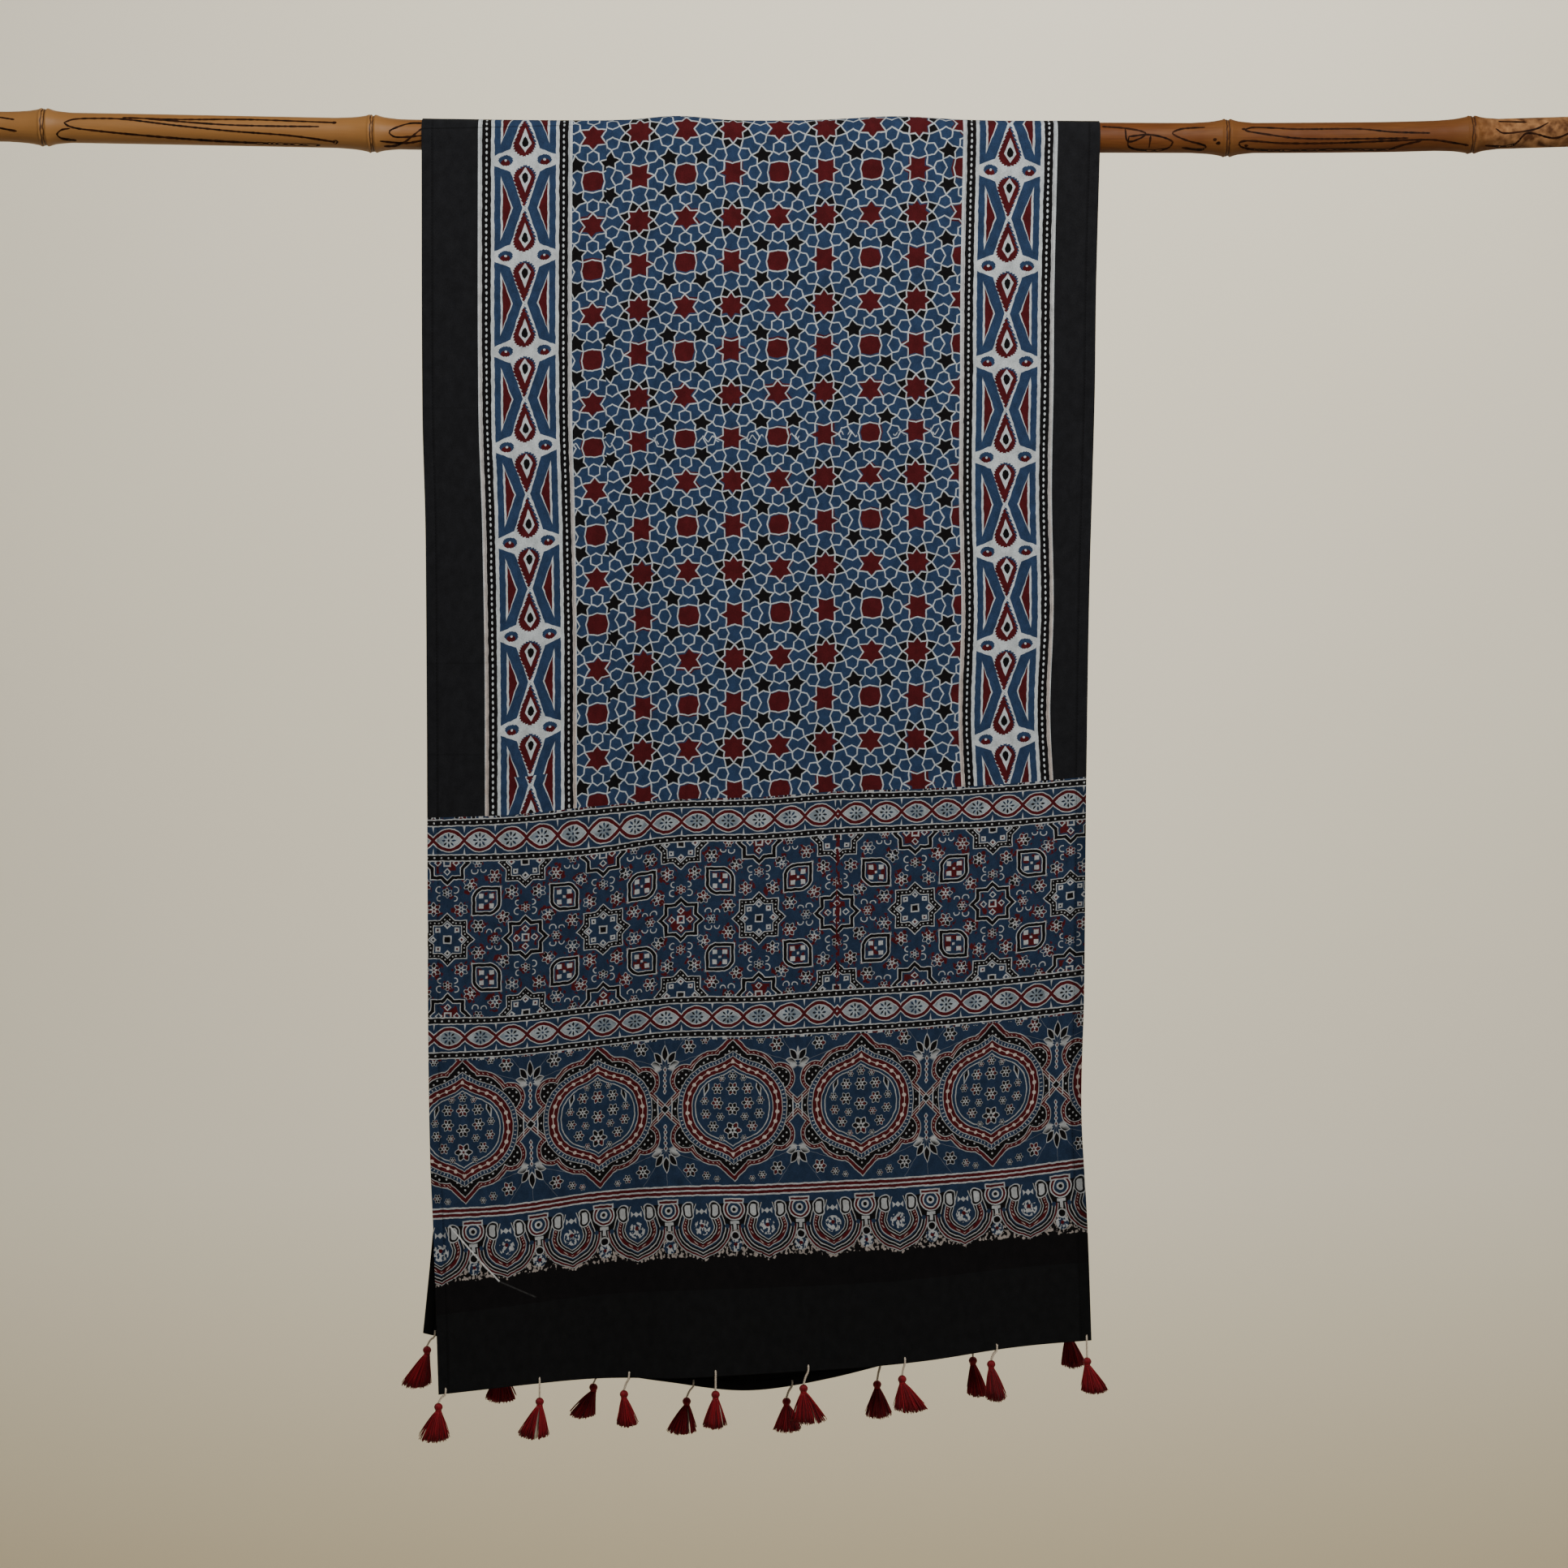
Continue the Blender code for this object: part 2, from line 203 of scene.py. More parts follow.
# Unevenness of the hanging cloth: lengths across and down of each wave, and its seed
SLOW_WAVE_MM, FINE_WAVE_MM, TINY_WAVE_MM = (95, 210, 3.1), (31, 47, 7.7), (11, 14, 1.9)
# Length of cloth from the rod over which it grows
RELIEF_START_MM = 120


def relief(u_mm, v_mm):
    """Small unevenness of the hanging cloth, in mm out of its face."""
    away = min(abs(v_mm) / RELIEF_START_MM, 1.0)
    slow, fine, tiny = (noise.noise(Vector((u_mm / across, v_mm / down, seed)))
                        for across, down, seed in (SLOW_WAVE_MM, FINE_WAVE_MM, TINY_WAVE_MM))
    return away * 1.5 * slow + (0.1 + away * 0.3) * fine + 0.06 * tiny


def border_centres(v_mm):
    return curve_through(LEFT_BORDER_MM, v_mm), curve_through(RIGHT_BORDER_MM, v_mm)


def field_place(u_mm, v_mm):
    """Place across the print: 0 and BORDER_SPACING_MM are the middles of the side borders."""
    left, right = border_centres(v_mm)
    return (u_mm - left) / (right - left) * BORDER_SPACING_MM


def field_drift(u_mm, v_mm):
    """How far the field's rows run out of true, in mm: they fall away to the left."""
    level = max(0.0, 1 - v_mm / DRIFT_END_MM)
    sag = max(0.0, SAG_FROM_MM - u_mm) ** 2 * DRIFT_SAG
    return (DRIFT_SLOPE * (u_mm - CLOTH_WIDTH_MM / 2) - sag) * level


def column_places(v_mm):
    """Columns of the mesh: distance from the left edge and depth behind the face, in mm."""
    left, right = border_centres(v_mm)
    hem = list(HEM_TURN_MM)
    places = list(hem)
    zones = [(hem[-1][0], left - BORDER_HALF_MM, MARGIN_COLUMNS),
             (left - BORDER_HALF_MM, left + BORDER_HALF_MM, BORDER_COLUMNS),
             (left + BORDER_HALF_MM, right - BORDER_HALF_MM, FIELD_COLUMNS),
             (right - BORDER_HALF_MM, right + BORDER_HALF_MM, BORDER_COLUMNS),
             (right + BORDER_HALF_MM, CLOTH_WIDTH_MM - hem[-1][0], MARGIN_COLUMNS)]
    for start, end, count in zones:
        places += [(start + (end - start) * k / count, hem[-1][1]) for k in range(1, count + 1)]
    places.pop()
    return places + [(CLOTH_WIDTH_MM - d, depth) for d, depth in reversed(hem)]


def column_zones():
    """Name of the print's zone for each strip between two columns, above the end bands."""
    hem = len(HEM_TURN_MM)
    return (["margin"] * (hem - 1 + MARGIN_COLUMNS) + ["left border"] * BORDER_COLUMNS
            + ["field"] * FIELD_COLUMNS + ["right border"] * BORDER_COLUMNS
            + ["margin"] * (MARGIN_COLUMNS + hem - 1))


# Lengths of cloth, in mm, where one part of the end's print gives way to the next
BAND_EDGES_MM = ((FIELD_END_MM, "waves and stars"), (746.5, "medallions"), (865.5, "lamps"),
                 (952.0, "end"))


def layer_rows():
    """Rows of the mesh up one layer: length of cloth and depth behind the face, in mm."""
    bottom = LAYER_LENGTH / MM
    rows = [(bottom - distance, depth) for distance, depth in HEM_TURN_MM]
    start, face = rows[-1]
    for end in [edge for edge, _ in reversed(BAND_EDGES_MM)] + [0]:
        places = spread(start, end, ROW_STEP_MM)
        rows += [(length, face) for length in places if length < rows[-1][0]]
        start = end
    return rows


def arch_rows(first, last):
    """Rows over the rod between two angles, as lengths in mm: below zero past the front."""
    count = round(abs(last - first) / ARCH_STEP)
    return [-CLOTH_REACH / MM * (first + (last - first) * k / count) for k in range(count + 1)]


def zone_of(columns, strip, v_mm):
    if v_mm < FIELD_END_MM:
        return columns[strip]
    return [name for edge, name in BAND_EDGES_MM if edge <= v_mm][-1]


def add_object(name, data):
    obj = bpy.data.objects.new(name, data)
    bpy.context.scene.collection.objects.link(obj)
    return obj


def mesh_object(name, bm, *materials):
    """Object with a finished mesh and its materials."""
    mesh = bpy.data.meshes.new(name)
    bm.to_mesh(mesh)
    bm.free()
    for material in materials:
        mesh.materials.append(material)
    return add_object(name, mesh)


def join_rings(bm, low, high):
    """Band of faces between two rings of as many points."""
    for k in range(len(low)):
        n = (k + 1) % len(low)
        bm.faces.new((low[k], low[n], high[n], high[k]))


def make_cloth(name, front, materials):
    """One half of the sheet, from its hem up and over the rod, with its hems turned in."""
    face = HEM_TURN_MM[-1][1]
    arch, seam = ARCH_LENGTH / MM, CLOTH_REACH / MM * SEAM_ANGLE
    rows = layer_rows()
    rows += [(length, face) for length in arch_rows(0 if front else math.pi, SEAM_ANGLE)]
    zones, columns = sorted(materials), column_zones()
    bm = bmesh.new()
    print_layer = bm.verts.layers.float_vector.new("print_place")
    grid = []
    for length, depth in rows:
        line = []
        # place runs along the whole sheet, v down this half of it
        place = -arch - length if length > 0 and not front else length
        v = place if front else -arch - place
        along = v if front or v > FIELD_END_MM else place
        drift_v = v if front else v + arch - 2 * seam
        for u, turn in column_places(v):
            point, out = cloth_frame(u / CLOTH_WIDTH_MM, place * MM)
            point = point + out * ((relief(u, place) + face - max(depth, turn)) * MM)
            vert = bm.verts.new(point)
            drift = field_drift(u, drift_v) if v < DRIFT_END_MM else 0.0
            vert[print_layer] = (field_place(u, v), along + drift, u)
            line.append(vert)
        grid.append((v, line))
    for (v0, low), (v1, high) in zip(grid, grid[1:]):
        for strip in range(len(low) - 1):
            corners = (low[strip], low[strip + 1], high[strip + 1], high[strip])
            quad = bm.faces.new(corners if front else reversed(corners))
            quad.material_index = zones.index(zone_of(columns, strip, (v0 + v1) / 2))
            quad.smooth = True
    return mesh_object(name, bm, *(materials[zone] for zone in zones))


# Numbers and shapes drawn by shader nodes


class Field:
    """A number that varies over a surface: the output of a node."""

    def __init__(self, graph, socket):
        self.graph = graph
        self.socket = socket

    def __add__(self, other):
        return self.graph.math("ADD", self, other)

    def __sub__(self, other):
        return self.graph.math("SUBTRACT", self, other)

    def __rsub__(self, other):
        return self.graph.math("SUBTRACT", other, self)

    def __mul__(self, other):
        return self.graph.math("MULTIPLY", self, other)

    def __truediv__(self, other):
        return self.graph.math("DIVIDE", self, other)

    def __neg__(self):
        return self * -1.0

    def __abs__(self):
        return self.graph.math("ABSOLUTE", self)

    __radd__ = __add__
    __rmul__ = __mul__


class Graph:
    """The nodes of one material, with short names for the ones that it uses."""

    def __init__(self, name):
        self.material = bpy.data.materials.new(name)
        self.material.use_nodes = True
        self.tree = self.material.node_tree
        self.shader = self.tree.nodes["Principled BSDF"]

    def node(self, kind, **settings):
        node = self.tree.nodes.new("ShaderNode" + kind)
        for name, value in settings.items():
            setattr(node, name, value)
        return node

    def feed(self, socket, value):
        if isinstance(value, Field):
            self.tree.links.new(value.socket, socket)
        else:
            socket.default_value = value

    def math(self, operation, *values, clamp=False):
        node = self.node("Math", operation=operation, use_clamp=clamp)
        for socket, value in zip(node.inputs, values):
            self.feed(socket, value)
        return Field(self, node.outputs[0])

    def vector_math(self, operation, first, second, output):
        node = self.node("VectorMath", operation=operation)
        self.feed(node.inputs[0], first)
        self.feed(node.inputs[1], second)
        return Field(self, node.outputs[output])

    def attribute(self, name):
        """The three numbers of a mesh attribute, as one vector and apart."""
        vector = Field(self, self.node("Attribute", attribute_name=name).outputs["Vector"])
        return vector, self.split(vector)

    def object_place(self):
        return Field(self, self.node("TexCoord").outputs["Object"])

    def split(self, vector):
        """The three numbers of a vector."""
        node = self.node("SeparateXYZ")
        self.feed(node.inputs[0], vector)
        return [Field(self, socket) for socket in node.outputs]

    def scaled(self, vector, scale):
        node = self.node("Mapping")
        self.feed(node.inputs["Vector"], vector)
        node.inputs["Scale"].default_value = scale
        return Field(self, node.outputs[0])

    def ramp(self, value, slope, start):
        """Slope times a value plus a start, kept from 0 to 1."""
        return self.math("MULTIPLY_ADD", value, slope, start, clamp=True)

    def noise(self, vector, scale, detail=1.0):
        """Noise about 0.5: one number, and three in a vector."""
        node = self.node("TexNoise")
        self.feed(node.inputs["Vector"], vector)
        node.inputs["Scale"].default_value = scale
        node.inputs["Detail"].default_value = detail
        return Field(self, node.outputs["Fac"]), Field(self, node.outputs["Color"])

    def least(self, *values):
        found = values[0]
        for value in values[1:]:
            found = self.math("MINIMUM", found, value)
        return found

    def most(self, *values):
        found = values[0]
        for value in values[1:]:
            found = self.math("MAXIMUM", found, value)
        return found

    def fold(self, value, half):
        """Distance to the nearest whole repeat, where a repeat is twice the half."""
        return self.math("PINGPONG", value, half)

    def around(self, value, half):
        """Distance past the nearest whole repeat, below zero before it."""
        return self.math("WRAP", value, half, -half)

    def fill(self, distance, soft=0.35):
        """1 where a distance is below zero and 0 above, with a soft edge."""
        return self.math("MULTIPLY_ADD", distance, -1 / soft, 0.5, clamp=True)

    def line(self, distance, half_width, soft=0.35):
        return self.fill(abs(distance) - half_width, soft)

    def mix(self, share, first, second):
        """Colour between two: the first where share is 0."""
        node = self.node("Mix", data_type="RGBA")
        self.feed(node.inputs[0], share)
        self.feed(node.inputs[6], first)
        self.feed(node.inputs[7], second)
        return Field(self, node.outputs[2])

    def over(self, ground, *layers):
        """Ground painted with layers of (distance, colour) where the distance is below zero."""
        for distance, colour, *soft in layers:
            ground = self.mix(self.fill(distance, *soft), ground, colour)
        return ground

    def bump(self, height, strength, depth_mm):
        node = self.node("Bump")
        node.inputs["Strength"].default_value = strength
        node.inputs["Distance"].default_value = depth_mm * MM
        self.feed(node.inputs["Height"], height)
        self.tree.links.new(node.outputs[0], self.shader.inputs["Normal"])

    def surface(self, colour, values):
        """Material with a colour and other values of the shader, by the names of its inputs."""
        for name, value in {"Base Color": colour, **values}.items():
            self.feed(self.shader.inputs[name], value)
        return self.material

    def place(self, x, y):
        return Place(self, x, y)

    def either(self, share, first, second):
        """Number between two: the first where share is 0."""
        return self.math("MULTIPLY_ADD", share, second - first, first)

    def rings(self, distance, rows):
        """Colour by distance, from rows of (distance where it starts, colour) in rising order."""
        low, high = rows[0][0], rows[-1][0]
        node = self.node("ValToRGB")
        self.feed(node.inputs[0], (distance - low) * (1 / (high - low)))
        ramp = node.color_ramp
        ramp.interpolation = "CONSTANT"
        ramp.elements[1].position = 1.0
        ramp.elements[0].color, ramp.elements[1].color = rows[0][1], rows[-1][1]
        for start, colour in rows[1:-1]:
            ramp.elements.new((start - low) / (high - low)).color = colour
        return Field(self, node.outputs[0])

    def nearest(self, vectors):
        """The shortest of several vectors, and its length."""
        best = vectors[0]
        least = self.vector_math("LENGTH", best, (0, 0, 0), "Value")
        for vector in vectors[1:]:
            size = self.vector_math("LENGTH", vector, (0, 0, 0), "Value")
            node = self.node("Mix", data_type="VECTOR")
            self.feed(node.inputs[0], self.math("LESS_THAN", size, least))
            self.feed(node.inputs[4], best)
            self.feed(node.inputs[5], vector)
            best = Field(self, node.outputs[1])
            least = self.least(least, size)
        return best, least


def half_plane(start, end, inside):
    """Numbers a, b, c for a x + b y + c, the distance beyond the line from inside."""
    a, b = end[1] - start[1], start[0] - end[0]
    size = math.hypot(a, b)
    a, b = a / size, b / size
    c = -(a * start[0] + b * start[1])
    if a * inside[0] + b * inside[1] + c > 0:
        a, b, c = -a, -b, -c
    return a, b, c


class Place:
    """A point of the print, in mm, and its distances from shapes: below zero inside them."""

    def __init__(self, graph, x, y):
        self.graph, self.x, self.y = graph, x, y
        node = graph.node("CombineXYZ")
        for socket, value in zip(node.inputs, (x, y, 1.0)):
            graph.feed(socket, value)
        self.vector = Field(graph, node.outputs[0])

    def beyond(self, start, end, inside):
        return self.graph.vector_math("DOT_PRODUCT", self.vector, half_plane(start, end, inside),
                                      "Value")

    def chain(self, points, inside):
        """Convex outline through the points, open at its ends."""
        return self.graph.most(*(self.beyond(a, b, inside) for a, b in zip(points, points[1:])))

    def polygon(self, points):
        middle = [sum(values) / len(points) for values in zip(*points)]
        return self.chain(list(points) + [points[0]], middle)

    def notched(self, points, inside):
        """Outline through tip, notch, tip and so on, open at its ends."""
        pairs = []
        for k in range(0, len(points) - 1, 2):
            tip, notch, end = points[k:k + 3]
            pairs.append(self.graph.least(self.beyond(tip, notch, inside),
                                          self.beyond(notch, end, inside)))
        return self.graph.most(*pairs)

    def disc(self, centre, radius):
        distance = self.graph.vector_math("DISTANCE", self.vector, (*centre, 1.0), "Value")
        return distance - radius

    def box(self, centre, half):
        """Square with level sides, where half is a number or two."""
        wide, high = half if isinstance(half, tuple) else (half, half)
        return self.graph.most(abs(self.x - centre[0]) - wide, abs(self.y - centre[1]) - high)

    def diamond(self, centre, half):
        return abs(self.x - centre[0]) + abs(self.y - centre[1]) - half

    def from_middle(self, x, y, radius):
        """Vector from a flower's middle, in shares of its radius."""
        node = self.graph.node("VectorMath", operation="MULTIPLY_ADD")
        self.graph.feed(node.inputs[0], self.vector)
        node.inputs[1].default_value = (1 / radius, 1 / radius, 0)
        node.inputs[2].default_value = (-x / radius, -y / radius, 0)
        return Field(self.graph, node.outputs[0])


# Printed cotton

BLUE = (0.022, 0.044, 0.097, 1)
DEEP_BLUE = (0.0165, 0.032, 0.066, 1)
RED = (0.073, 0.0072, 0.0094, 1)
BLACK = (0.0055, 0.0048, 0.0052, 1)
# Margin black, paler than the end's black: painted light, for the brighter light near the top of
# the cloth
PAINTED_LIGHT_MARGIN_BLACK = (0.0112, 0.0116, 0.0134, 1)
END_BLACK = (0.0073, 0.0074, 0.0078, 1)
WHITE = (0.53, 0.57, 0.585, 1)
DULL_WHITE = (0.41, 0.42, 0.42, 1)
LENS_GREY = (0.19, 0.225, 0.255, 1)
ROSY_WHITE = (0.52, 0.44, 0.39, 1)
LINE_WHITE = (0.345, 0.35, 0.345, 1)
FRINGE_WHITE = (0.34, 0.295, 0.265, 1)
PALE_STREAK_WHITE = (0.80, 0.80, 0.78, 1)
# How far the blocks stray, and the scale of the noise that moves them
WOBBLE_MM = 1.3
WOBBLE_SCALE = 0.16
# Dye: scale of each noise, and the strength and start of the tone that it gives
MOTTLE_SCALE, MOTTLE_TONE = 0.11, (0.9, 0.55)
GRAIN_SCALE, GRAIN_TONE = 0.9, (0.7, 0.65)
COTTON_SURFACE = {"Roughness": 0.86, "Specular IOR Level": 0.10, "Sheen Weight": 0.03,
                  "Sheen Roughness": 0.5}
# Thread spacing of the weave, and length of a hem stitch with its gap
THREAD_MM = 0.55
STITCH_MM = 2.6
# Painted shade of the stitches and the ridge beside them, how much darker the turned hem is, and
# painted shade of the top fold and the creases
STITCH_SHADE, RIDGE_SHADE, TURNED_SHADE = 0.45, 0.28, 0.30
FOLD_SHADE, CREASE_SHADE, DARKEST_SHADE = 0.5, 0.22, 0.7
# Folds in the cloth, shown by painted shade: place down it and how far they run from the left edge
TOP_FOLD_MM = (-3.0, 130.0)
TOP_FOLD_RISE = 0.042
CREASE_FALL = 0.03
SIDE_CREASES_MM = ((421.0, 70.0), (495.6, 60.0), (212.0, 45.0))
# Pale diagonal crease near the end, from the left edge and down the cloth
PALE_CREASE_MM = ((14.4, 881.0), (54.9, 929.7), (85.6, 947.3))


class Cotton(Graph):
    """Graph of a printed zone, with the print's coordinates wobbled as block printing is."""

    def __init__(self, name):
        super().__init__(name)
        self.raw, (across, along, edge) = self.attribute("print_place")
        _, wobble = self.noise(self.raw, WOBBLE_SCALE)
        dx, dy, _ = self.split(wobble)
        self.across, self.along, self.edge = (
            self.math("MULTIPLY_ADD", shift, WOBBLE_MM, place - WOBBLE_MM / 2)
            for shift, place in ((dx, across), (dy, along), (dx, edge)))
        self.raw_parts = (across, along, edge)

    def painted_fold_shade(self):
        """Painted shade of the hems' stitching, the fold below the rod and the creases, 0 to 1."""
        _, along, edge = self.raw_parts
        # painted shade along the hems' stitching and the ridge beside it
        from_hem = self.least(edge, CLOTH_WIDTH_MM - edge) - HEM_WIDTH_MM
        stitches = self.fill(self.fold(along, STITCH_MM / 2) - 0.9, 0.6)
        seam = self.line(from_hem, 0.35) * stitches * STITCH_SHADE
        seam = seam + self.line(from_hem - 0.9, 0.7, 1.0) * RIDGE_SHADE
        # the hem shows darker down the right of the end bands
        low = self.math("GREATER_THAN", along, FIELD_END_MM + 8.0)
        turned = self.fill(CLOTH_WIDTH_MM - HEM_WIDTH_MM - edge, 0.8) * low
        seam = seam + turned * TURNED_SHADE
        # painted shade along the top fold, which lies level, so the drift of the print comes off
        # again
        fold_v, fold_end = TOP_FOLD_MM
        sagged = self.most(SAG_FROM_MM - edge, 0.0)
        level = along + (CLOTH_WIDTH_MM / 2 - edge) * DRIFT_SLOPE + sagged * sagged * DRIFT_SAG
        top = self.line(level - fold_v + edge * TOP_FOLD_RISE, 0.5, 0.9)
        top = top * self.fill(edge - fold_end, 40.0)
        shade = seam + top * FOLD_SHADE
        # painted shade along the creases
        for crease_v, reach in SIDE_CREASES_MM:
            mark = self.line(along - crease_v - edge * CREASE_FALL, 0.5, 1.4)
            shade = shade + mark * self.fill(edge - reach, 25.0) * CREASE_SHADE
        return self.math("MINIMUM", shade, DARKEST_SHADE)

    def finish(self, colour):
        """Dye, weave, sheen and the painted shade of hems, folds and creases over the print's
        colour.
        """
        _, along, edge = self.raw_parts
        mottle, _ = self.noise(self.raw, MOTTLE_SCALE, 3.0)
        grain, _ = self.noise(self.raw, GRAIN_SCALE, 1.0)
        tone = self.math("MULTIPLY_ADD", mottle, *MOTTLE_TONE)
        tone = tone * self.math("MULTIPLY_ADD", grain, *GRAIN_TONE)
        # darkened by the painted shade of hems, folds and creases
        tone = tone * (1 - self.painted_fold_shade())
        toned = self.node("Mix", data_type="RGBA", blend_type="MULTIPLY")
        toned.inputs[0].default_value = 1.0
        self.feed(toned.inputs[6], colour)
        self.feed(toned.inputs[7], tone)
        warp, weft = (self.math("SINE", run * (2 * math.pi / THREAD_MM)) for run in (edge, along))
        self.bump(self.math("MULTIPLY_ADD", warp, weft, grain), 0.35, 0.1)
        return self.surface(Field(self, toned.outputs[2]), COTTON_SURFACE)


def plain_cotton(name, colour):
    return Cotton(name).finish(colour)


def add_pale_crease(cotton, colour):
    """Pale streak along a crease that runs down to the right, over a colour."""
    _, along, edge = cotton.raw_parts
    place = cotton.place(edge, along)
    for (u0, v0), (u1, v1), share in zip(PALE_CREASE_MM, PALE_CREASE_MM[1:], (0.9, 0.04)):
        size = math.hypot(u1 - u0, v1 - v0)
        run = ((edge - u0) * (u1 - u0) + (along - v0) * (v1 - v0)) * (1 / size)
        off = abs(place.beyond((u0, v0), (u1, v1), (0, 2000)))
        mark = cotton.fill(cotton.most(off - 0.6, -run, run - size), 0.5)
        streak_noise, _ = cotton.noise(cotton.raw, 0.35, 2.0)
        mark = mark * cotton.ramp(streak_noise, 2.4, -0.25)
        colour = cotton.mix(mark * share, colour, PALE_STREAK_WHITE)
    return colour


def end_panel():
    cotton = Cotton("end_panel")
    return cotton.finish(add_pale_crease(cotton, END_BLACK))


# Star field: quarter of a repeat, in mm from the eight-pointed star
CELL_X_MM = 37.8
CELL_Y_MM = 36.7
FIELD_START_MM = (94.5, 68.4)
FIELD_PITCH_X_MM = 38.35
BLOCK_JOINT_MM = (251.0, 2.5)
JOINT_REACH_MM = 26.0
SIDE_JOINT_MM = (67.0, 2.4)
EIGHT_STAR = ((12.1, 0), (7.7, 3.2), (8.5, 8.5))
KITE = ((12.1, 0), (16.5, 6.2), (8.5, 8.5))
SIDE_STAR = ((0, 11.1), (3.6, 6.7), (10.9, 6.1), (6.6, 0))
TOP_STAR = ((12.4, 0), (6.8, 2.8), (7.0, 10.5), (0, 8.2))
BARREL = ((9.4, 0), (7.6, 7.4), (0, 9.1))
LOW_HEXAGON = ((22.1, 3.1), (16.5, 6.2), (18.2, 11.8), (22.9, 13.9), (26.5, 11.5), (27.2, 6.0))
SIDE_HEXAGON = ((0, 11.3), (4.6, 13.5), (4.6, 19.4), (0, 22.1))
INNER_HEXAGON = ((4.6, 21.3), (7.0, 26.3), (12.5, 25.6), (15.3, 21.8), (12.7, 16.5), (6.7, 16.3))
TOP_HEXAGON = ((12.4, 0), (14.6, 5.0), (19.7, 6.4), (23.2, 0))
FIVE_STAR = ((15.3, 21.8), (19.8, 24.9), (20.0, 29.6), (24.9, 27.1), (30.0, 29.3), (29.3, 24.1),
             (32.4, 20.1), (27.2, 18.8), (22.9, 14.3), (20.4, 19.6), (15.3, 21.8))
FIVE_STAR_MIDDLE = (24.3, 23.6)
STAR_LINE_MM = 0.46
SLIP_MM = 9.0
SLIP_SCALE = 0.006


def star_places(cotton, shift_x, shift_y):
    """Folded coordinates of a quarter repeat, about its four corners."""
    joint, step = BLOCK_JOINT_MM
    side, fall = SIDE_JOINT_MM
    past = cotton.ramp(cotton.along, 1 / JOINT_REACH_MM, 0.5 - joint / JOINT_REACH_MM)
    along = cotton.along + past * step
    along = along - cotton.math("LESS_THAN", cotton.across, side) * fall
    start_x, start_y = FIELD_START_MM
    across = (cotton.across - (start_x - shift_x)) * (CELL_X_MM / FIELD_PITCH_X_MM)
    return (cotton.fold(across, CELL_X_MM),
            cotton.fold(along - (start_y - shift_y), CELL_Y_MM))


def red_stars(cotton, x, y):
    """Distances of the eight-pointed star, the two six-pointed ones and the barrel."""
    far_x, far_y = CELL_X_MM - x, CELL_Y_MM - y
    turned = cotton.place(cotton.most(x, y), cotton.least(x, y))
    eight = cotton.least(turned.beyond(EIGHT_STAR[0], EIGHT_STAR[1], (0, 0)),
                         turned.beyond(EIGHT_STAR[1], EIGHT_STAR[2], (0, 0)))
    side_place, top_place = cotton.place(far_x, y), cotton.place(x, far_y)
    side, top = (cotton.most(place.notched(star[:3], (0, 0)), place.beyond(*star[2:], (0, 0)))
                 for place, star in ((side_place, SIDE_STAR), (top_place, TOP_STAR)))
    barrel = cotton.place(far_x, far_y).chain(BARREL, (0, 0))
    return turned, side_place, top_place, (eight, side, top, barrel)


def star_field():
    """Field of eight, six and five-pointed stars in a net of white lines."""
    cotton = Cotton("star_field")
    x, y = star_places(cotton, 0.0, 0.0)
    turned, side_place, top_place, reds = red_stars(cotton, x, y)
    kite = turned.chain(KITE, (0, 0))
    five = cotton.place(x, y)
    star = five.notched(FIVE_STAR, FIVE_STAR_MIDDLE)
    edges = (*reds, kite, star, five.polygon(LOW_HEXAGON), five.polygon(INNER_HEXAGON),
             side_place.chain(SIDE_HEXAGON, (0, 16)), top_place.chain(TOP_HEXAGON, (17, 0)))
    outline = cotton.least(*(abs(distance) for distance in edges))
    # the red block sits a little out of place
    _, slide = cotton.noise(cotton.raw, SLIP_SCALE)
    slip_x, slip_y, _ = cotton.split(slide)
    x, y = star_places(cotton, slip_x * SLIP_MM - SLIP_MM / 2, slip_y * SLIP_MM - SLIP_MM / 2)
    slipped = red_stars(cotton, x, y)[-1]
    colour = cotton.over(BLUE, (cotton.least(*slipped), RED, 0.6),
                         (cotton.least(star, cotton.most(kite, -reds[0])), BLACK, 0.5))
    white = cotton.line(outline, STAR_LINE_MM, 0.6)
    # crossed strokes where two rows of blocks overlap
    beside = cotton.along - BLOCK_JOINT_MM[0]
    stroke = abs(cotton.fold(cotton.across, 4.1) - 2.0 - beside * 0.7) - 0.45
    stroke = cotton.most(stroke, abs(beside) - 2.7, 1.5 - cotton.least(*reds))
    white = cotton.most(white, cotton.fill(stroke, 0.6) * patches(cotton, 0.045, 0.50, 30.0))
    return cotton.finish(cotton.mix(white, colour, WHITE))


# Side border: half of a repeat, in mm out from its middle line and along from a row of eyes
BORDER_REPEAT_HALF_MM = 39.9
PANEL_HALF_MM = 25.4
BORDER_LINE_MM = (37.0, 1.35)
DOT_STRIPE_MM = (31.9, 3.75)
DOT_PITCH_MM = 5.0
DOT_HALF_MM = (0.8, 1.4)
FRAME_SIDE = ((25.4, 4.2), (12.0, 9.6), (1.9, 40.2))
RING_SIDE = ((20.4, 12.6), (10.0, 40.2))
RING_EDGE_MM = 20.1
TRIANGLE_SIDE = ((18.4, 18.6), (11.2, 40.2))
TRIANGLE_EDGE_MM = 18.5
DROP_DISC_MM = (13.6, 8.8)
DROP_TIP_MM = 38.2
DROP_RING = ((0, 6.3), (5.0, 13.8), (0, 27.0))
DROP_PIP = ((0, 10.4), (2.2, 12.0), (2.8, 14.6), (1.6, 17.9), (0, 19.6))
EYE_MM = (16.0, 6.3, 4.7)
EYE_RED_MM = ((0.4, 2.0), (3.9, 2.8))
EYE_DOT_MM = 1.0
